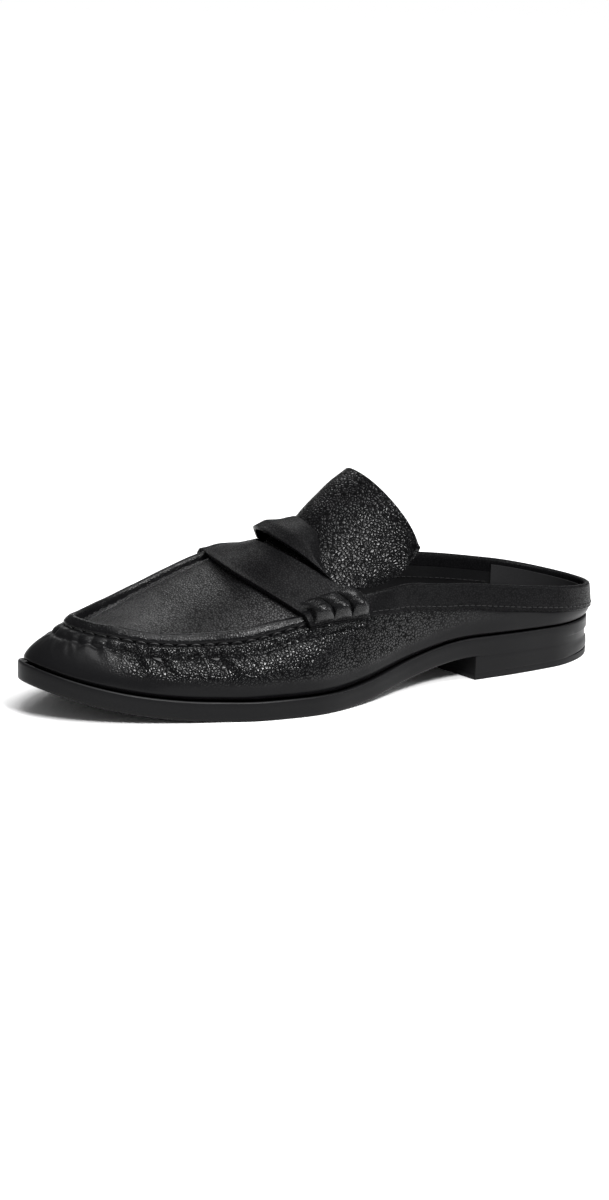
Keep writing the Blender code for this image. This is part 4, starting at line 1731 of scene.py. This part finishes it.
    def make_roll(self, roll: Roll) -> Piece:
        """Three padded rolls at one end of the strap.

        Args:
            roll: Sizes of the row.

        Returns:
            The rolls.
        """
        pad = lay_grid(roll.name, self.roll_surface(roll), roll.side > 0.0)
        thicken(pad, self.roll_wall, 0.0)
        smooth(pad, 60.0)
        return pad


@dataclass(frozen=True)
class Lamp:
    """Soft rectangular light: its direction and distance from the aim, its size and its watts."""

    name: str
    direction: tuple[float, float, float]
    distance: float
    size: tuple[float, float]
    power: float


LAMPS = (
    Lamp("key", (-0.06, 0.68, 0.67), 1.2, (0.45, 0.20), 16.0),
    Lamp("front", (0.40, 0.35, 0.85), 1.2, (0.25, 0.25), 0.3),
    Lamp("rim", (-0.85, 0.35, 0.40), 1.2, (0.20, 0.5), 3.0),
    Lamp("back", (-0.24, -0.69, 0.67), 1.4, (0.6, 0.4), 4.0),
)


@dataclass
class Studio:
    """Floor, light and camera."""

    target: tuple[float, float, float] = (0.134, 0.0, 0.030)
    yaw: float = 30.0
    elevation: float = 14.5
    roll: float = -1.35
    distance: float = 1.487
    focal: float = 3537.0
    centre: tuple[float, float] = (316.5, 611.4)
    picture: tuple[int, int] = (609, 1200)
    aim: tuple[float, float, float] = (0.03, 0.0, 0.04)
    room: float = 0.28
    sun: float = 2.75

    def floor(self) -> None:
        """Plain pale floor."""
        bpy.ops.object.select_all(action="DESELECT")
        bpy.ops.mesh.primitive_plane_add(size=30.0, location=(0.0, 0.0, 0.0))
        floor = bpy.context.object
        floor.name = "floor"
        paper = bpy.data.materials.new("floor_paper")
        paper.use_nodes = True
        surface = paper.node_tree.nodes["Principled BSDF"]
        surface.inputs["Base Color"].default_value = (0.92, 0.92, 0.92, 1.0)
        surface.inputs["Roughness"].default_value = 0.7
        surface.inputs["Specular IOR Level"].default_value = 0.2
        floor.data.materials.append(paper)

    def stand(self, name: str, data: bpy.types.ID, place: Matrix) -> Piece:
        """Put a camera or a lamp in the scene.

        Args:
            name: Its name.
            data: The camera or the lamp.
            place: Where it stands and how it is turned.

        Returns:
            The object.
        """
        holder = bpy.data.objects.new(name, data)
        bpy.context.scene.collection.objects.link(holder)
        holder.matrix_world = place
        return holder

    def camera(self, shift: Array) -> None:
        """Camera at the photograph's angle.

        Args:
            shift: From the last's own frame to the solids' frame.
        """
        yaw = math.radians(self.yaw)
        rise = math.radians(self.elevation)
        back = Vector((math.sin(yaw) * math.cos(rise), math.cos(yaw) * math.cos(rise), math.sin(rise)))
        eye = bpy.data.cameras.new("camera")
        long_side = max(self.picture)
        eye.sensor_width = 36.0
        eye.lens = self.focal / long_side * eye.sensor_width
        eye.shift_x = -(self.centre[0] - self.picture[0] / 2.0) / long_side
        eye.shift_y = (self.centre[1] - self.picture[1] / 2.0) / long_side
        eye.clip_start = 0.05
        eye.clip_end = 60.0
        spot = Matrix.Translation(Vector(self.target) + Vector(shift) + back * self.distance)
        look = (-back).to_track_quat("-Z", "Y").to_matrix()
        turn = Matrix.Rotation(math.radians(-self.roll), 3, "Z")
        bpy.context.scene.camera = self.stand("camera", eye, spot @ (look @ turn).to_4x4())

    def lamp(self, lamp: Lamp) -> None:
        """Soft rectangular light.

        Args:
            lamp: Its sizes.
        """
        light = bpy.data.lights.new(lamp.name, "AREA")
        light.shape = "RECTANGLE"
        light.size, light.size_y = lamp.size
        light.energy = lamp.power
        aim = Vector(self.aim)
        place = aim + lamp.distance * Vector(lamp.direction)
        look = (aim - place).to_track_quat("-Z", "Y").to_matrix().to_4x4()
        self.stand(lamp.name, light, Matrix.Translation(place) @ look)

    def lights(self) -> None:
        """Bright room, soft lamps round the shoe and a wide sun."""
        world = bpy.data.worlds.new("room")
        bpy.context.scene.world = world
        world.use_nodes = True
        sky = world.node_tree.nodes["Background"]
        sky.inputs["Color"].default_value = (1.0, 1.0, 1.0, 1.0)
        sky.inputs["Strength"].default_value = self.room
        for lamp in LAMPS:
            self.lamp(lamp)
        sun = bpy.data.lights.new("sun", "SUN")
        sun.energy = self.sun
        sun.angle = math.radians(40.0)
        tilt = Euler((math.radians(-12.0), math.radians(-6.0), 0.0))
        self.stand("sun", sun, tilt.to_matrix().to_4x4())
        bpy.context.scene.view_settings.view_transform = "Standard"


@dataclass
class Tree:
    """Short way to place shader nodes and join them."""

    tree: bpy.types.NodeTree

    def feed(self, node: bpy.types.Node, inputs: dict[str | int, object]) -> None:
        """Join sockets to a node's inputs, or set the inputs to plain values.

        Args:
            node: The node.
            inputs: What goes into each input, by its name or number.
        """
        for key, value in inputs.items():
            if isinstance(value, Socket):
                self.tree.links.new(value, node.inputs[key])
            else:
                node.inputs[key].default_value = value

    def add(
        self, kind: str, inputs: dict[str | int, object] | None = None, **settings: object
    ) -> bpy.types.NodeOutputs:
        """Add a node of a kind.

        Args:
            kind: Kind of node.
            inputs: What goes into its inputs.
            settings: Its properties.

        Returns:
            The node's outputs.
        """
        node = self.tree.nodes.new(kind)
        for name, value in settings.items():
            setattr(node, name, value)
        self.feed(node, inputs or {})
        return node.outputs

    def math(self, operation: str, first: object, second: object) -> Socket:
        """Arithmetic on two values."""
        return self.add("ShaderNodeMath", {0: first, 1: second}, operation=operation)[0]

    def vector(self, operation: str, first: object, second: object) -> Socket:
        """Arithmetic on two vectors."""
        return self.add("ShaderNodeVectorMath", {0: first, 1: second}, operation=operation)["Vector"]

    def ramp(self, value: object, low: float, high: float, start: float, end: float) -> Socket:
        """Soft step of a value from one range into another."""
        inputs = {"Value": value, "From Min": low, "From Max": high, "To Min": start, "To Max": end}
        return self.add("ShaderNodeMapRange", inputs, interpolation_type="SMOOTHSTEP")["Result"]

    def noise(self, place: object, scale: object, detail: float) -> bpy.types.NodeOutputs:
        """Smooth noise at a place."""
        return self.add("ShaderNodeTexNoise", {"Vector": place, "Scale": scale, "Detail": detail})

    def cells(self, place: object, scale: object) -> Socket:
        """Distance to the nearest cell wall."""
        inputs = {"Vector": place, "Scale": scale}
        return self.add("ShaderNodeTexVoronoi", inputs, feature="DISTANCE_TO_EDGE")["Distance"]


@dataclass(frozen=True)
class Patterns:
    """Shared patterns, each a node group of its own."""

    grain: bpy.types.NodeTree
    wear: bpy.types.NodeTree


def pattern(
    name: str, inputs: tuple[str, ...], outputs: tuple[str, ...]
) -> tuple[Tree, bpy.types.NodeOutputs, bpy.types.Node]:
    """Start a node group.

    Args:
        name: Name of the group.
        inputs: Names of its inputs; the one called Vector is a vector.
        outputs: Names of its outputs.

    Returns:
        Its tree, the sockets that come in and the node that the results go to.
    """
    group = bpy.data.node_groups.new(name, "ShaderNodeTree")
    for way, names in (("INPUT", inputs), ("OUTPUT", outputs)):
        for socket in names:
            kind = "NodeSocketVector" if socket == "Vector" else "NodeSocketFloat"
            group.interface.new_socket(socket, in_out=way, socket_type=kind)
    tree = Tree(group)
    return tree, tree.add("NodeGroupInput"), group.nodes.new("NodeGroupOutput")


def grain_pattern() -> bpy.types.NodeTree:
    """Pebbles of tumbled leather: domes of two sizes between creases.

    Returns:
        The node group.
    """
    tree, start, end = pattern("leather_grain", ("Vector", "Scale"), ("Height", "Crease"))
    place = start["Vector"]
    scale = start["Scale"]
    warp = tree.noise(place, tree.math("MULTIPLY", scale, 0.7), 2.0)["Color"]
    centre = tree.vector("SUBTRACT", warp, (0.5, 0.5, 0.5))
    sway = tree.add(
        "ShaderNodeVectorMath",
        {0: centre, "Scale": tree.math("DIVIDE", 0.7, scale)},
        operation="SCALE",
    )
    moved = tree.vector("ADD", place, sway["Vector"])
    wall = tree.cells(moved, scale)
    domes = tree.ramp(wall, 0.0, 0.40, 0.0, 1.0)
    # Crease mask, 1 in the creases between the domes: the leathers make the creases duller with it and
    # paint shade into them
    crease = tree.ramp(wall, 0.05, 0.23, 1.0, 0.0)
    small = tree.cells(moved, tree.math("MULTIPLY", scale, 2.1))
    small = tree.ramp(small, 0.0, 0.3, 0.0, 0.08)
    broad = tree.noise(place, tree.math("MULTIPLY", scale, 0.25), 3.0)["Fac"]
    patchy = tree.ramp(broad, 0.36, 0.60, 0.9, 1.0)
    height = tree.math("ADD", tree.math("MULTIPLY", domes, patchy), small)
    height = tree.math("ADD", height, tree.math("MULTIPLY", broad, 0.45))
    tree.feed(end, {"Height": height, "Crease": tree.math("MULTIPLY", crease, patchy)})
    return tree.tree


def wear_pattern() -> bpy.types.NodeTree:
    """Faint handling marks: cloudy gloss and a few fine scuffs.

    Returns:
        The node group.
    """
    tree, start, end = pattern("light_wear", ("Vector",), ("Cloud", "Scuff"))
    place = start["Vector"]
    stretch = {"Vector": place, "Scale": (60.0, 60.0, 900.0)}
    fine = tree.noise(tree.add("ShaderNodeMapping", stretch)["Vector"], 1.0, 3.0)["Fac"]
    scuff = tree.ramp(fine, 0.60, 0.72, 0.0, 1.0)
    tree.feed(end, {"Cloud": tree.noise(place, 45.0, 4.0)["Fac"], "Scuff": scuff})
    return tree.tree


@dataclass(frozen=True)
class Finish:
    """What every finish has: a name and a colour."""

    name: str
    colour: Colour

    def start(self) -> tuple[bpy.types.Material, Tree, bpy.types.Node, Socket]:
        """Start a material.

        Returns:
            The material, its tree, its surface and the place on the piece.
        """
        material = bpy.data.materials.new(self.name)
        material.use_nodes = True
        tree = Tree(material.node_tree)
        surface = material.node_tree.nodes["Principled BSDF"]
        return material, tree, surface, tree.add("ShaderNodeTexCoord")["Object"]


@dataclass(frozen=True)
class Hide(Finish):
    """Finish of one leather."""

    pebble: float
    depth: float
    gloss: float
    dull: float
    specular: float
    coat: float
    crease: float
    taut: float
    back: float

    def slack(self, tree: Tree) -> Socket:
        """Find where the hide lies loose, and where it is drawn flat over the toe and the heel.

        Args:
            tree: The material's tree.

        Returns:
            1 where it lies loose, less where it is flat.
        """
        spot = tree.add("ShaderNodeTexCoord")
        up = tree.add("ShaderNodeSeparateXYZ", {0: spot["UV"]})["Y"]
        ahead = tree.add("ShaderNodeSeparateXYZ", {0: spot["Object"]})["X"]
        foot = tree.ramp(up, 4.0 * MM, 10.0 * MM, self.taut, 1.0)
        along = tree.math("SUBTRACT", ahead, self.back)
        toe = tree.ramp(along, 0.228, 0.250, 1.0, self.taut)
        heel = tree.ramp(along, 0.030, 0.125, self.taut, 1.0)
        return tree.math("MULTIPLY", foot, tree.math("MULTIPLY", toe, heel))

    def make(self, patterns: Patterns) -> bpy.types.Material:
        """Build the leather's material.

        Args:
            patterns: The shared node groups.

        Returns:
            The material.
        """
        material, tree, surface, place = self.start()
        inputs = {"Vector": place, "Scale": 1.0 / (self.pebble * MM)}
        grain = tree.add("ShaderNodeGroup", inputs, node_tree=patterns.grain)
        wear = tree.add("ShaderNodeGroup", {"Vector": place}, node_tree=patterns.wear)
        slack = self.slack(tree) if self.taut < 1.0 else 1.0
        crease = tree.math("MULTIPLY", grain["Crease"], tree.math("MULTIPLY", slack, self.crease))
        # Painted shade: the base colour is darkened to 45% in the grain's creases
        inputs = {
            "Factor": crease,
            "A": (*self.colour, 1.0),
            "B": (*(value * 0.45 for value in self.colour), 1.0),
        }
        colour = tree.add("ShaderNodeMix", inputs, data_type="RGBA")["Result"]
        cloud = tree.ramp(wear["Cloud"], 0.3, 0.7, -0.025, 0.025)
        rough = tree.math("ADD", tree.ramp(crease, 0.0, 1.0, self.gloss, self.dull), cloud)
        shine = tree.ramp(crease, 0.0, 1.0, self.specular, self.specular * 0.08)
        sheen = tree.ramp(slack, 0.0, 1.0, 0.35, 1.0)
        coat = tree.ramp(crease, 0.0, 1.0, self.coat, 0.0)
        inputs = {
            "Strength": 1.0,
            "Distance": tree.math("MULTIPLY", slack, self.depth * MM),
            "Height": grain["Height"],
        }
        normal = tree.add("ShaderNodeBump", inputs)["Normal"]
        inputs = {
            "Base Color": colour,
            "Roughness": tree.math("ADD", rough, tree.ramp(slack, 0.0, 1.0, 0.16, 0.0)),
            "Specular IOR Level": tree.math("MULTIPLY", shine, sheen),
            "Coat Weight": tree.math("MULTIPLY", coat, sheen),
            "Coat Roughness": tree.ramp(slack, 0.0, 1.0, 0.34, 0.16),
            "Normal": normal,
            "Coat Normal": normal,
        }
        tree.feed(surface, inputs)
        return material


@dataclass(frozen=True)
class Moulded(Finish):
    """Finish of the moulded sole, the lifts and the thread."""

    roughness: float
    texture: float
    depth: float
    specular: float

    def make(self, patterns: Patterns) -> bpy.types.Material:
        """Build the material.

        Args:
            patterns: The shared node groups.

        Returns:
            The material.
        """
        material, tree, surface, place = self.start()
        wear = tree.add("ShaderNodeGroup", {"Vector": place}, node_tree=patterns.wear)
        rough = tree.ramp(wear["Cloud"], 0.3, 0.7, self.roughness - 0.06, self.roughness + 0.06)
        scuffed = tree.math("MULTIPLY", wear["Scuff"], -0.08)
        inputs = {
            "Strength": 0.7,
            "Distance": self.depth * MM,
            "Height": tree.noise(place, 1.0 / (self.texture * MM), 3.0)["Fac"],
        }
        normal = tree.add("ShaderNodeBump", inputs)["Normal"]
        inputs = {
            "Base Color": (*self.colour, 1.0),
            "Roughness": tree.math("ADD", rough, scuffed),
            "Specular IOR Level": self.specular,
            "Normal": normal,
        }
        tree.feed(surface, inputs)
        return material


def dress(piece: Piece, *materials: bpy.types.Material) -> Piece:
    """Give a piece its materials.

    Args:
        piece: The piece.
        materials: The first one is for its outside.

    Returns:
        The piece.
    """
    piece.data.materials.clear()
    for material in materials:
        piece.data.materials.append(material)
    return piece


def finishes(back: float) -> dict[str, bpy.types.Material]:
    """Build the material of every finish.

    Args:
        back: Where the shoe's back lies along X.

    Returns:
        The materials by their names.
    """
    patterns = Patterns(grain_pattern(), wear_pattern())
    made = [Hide(*row, back) for row in HIDES[1:]] + [Moulded(*row) for row in MOULDED[1:]]
    return {finish.name: finish.make(patterns) for finish in made}


def main() -> None:
    """Build the shoe piece by piece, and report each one."""
    logging.basicConfig(level=logging.INFO, format="%(message)s")
    last = Last()
    look = finishes(float(last.shift[0]))
    plain = look["smooth_leather"]
    lined = look["lining_leather"]
    rubber = look["sole_rubber"]
    thread = look["waxed_thread"]

    upper = Upper(last)
    settle(dress(upper.make_vamp(), look["pebbled_leather"]), Slot.GRAINED, "upper")
    settle(dress(upper.make_apron(), look["fine_leather"]), Slot.GRAINED)
    settle(dress(upper.make_lip(), look["folded_leather"]), Slot.GRAINED)
    settle(dress(upper.make_band(), plain), Slot.GRAINED)
    settle(dress(upper.make_lining(), lined), Slot.LINING)
    settle(dress(upper.make_grip(), look["heel_grip"]), Slot.LINING)
    for row in (*upper.hand_stitches(), upper.band_stitches(), upper.lining_stitches()):
        settle(dress(row, thread), Slot.GRAINED)
    settle(dress(Tongue(last).make(), look["tongue_leather"], lined), Slot.GRAINED, "tongue")
    strap = Strap(last)
    settle(dress(strap.make(), plain), Slot.STRAP, "saddle_strap")
    for node, roll in ROLLS.items():
        settle(dress(strap.make_roll(roll), look["padded_leather"]), Slot.STRAP, node)
    sole = Sole(last)
    settle(dress(sole.make_outsole(), rubber), Slot.SOLE, "outsole")
    block, top_piece = sole.make_heel()
    settle(dress(block, rubber), Slot.SOLE, "heel")
    settle(dress(top_piece, look["lift_rubber"]), Slot.LIFT, "top_piece")
    sock, sock_thread = Insole(last).make()
    settle(dress(sock, lined), Slot.LINING, "insole")
    settle(dress(sock_thread, thread), Slot.LINING)

    studio = Studio()
    studio.floor()
    studio.camera(last.shift)
    studio.lights()


if __name__ == "__main__":
    main()
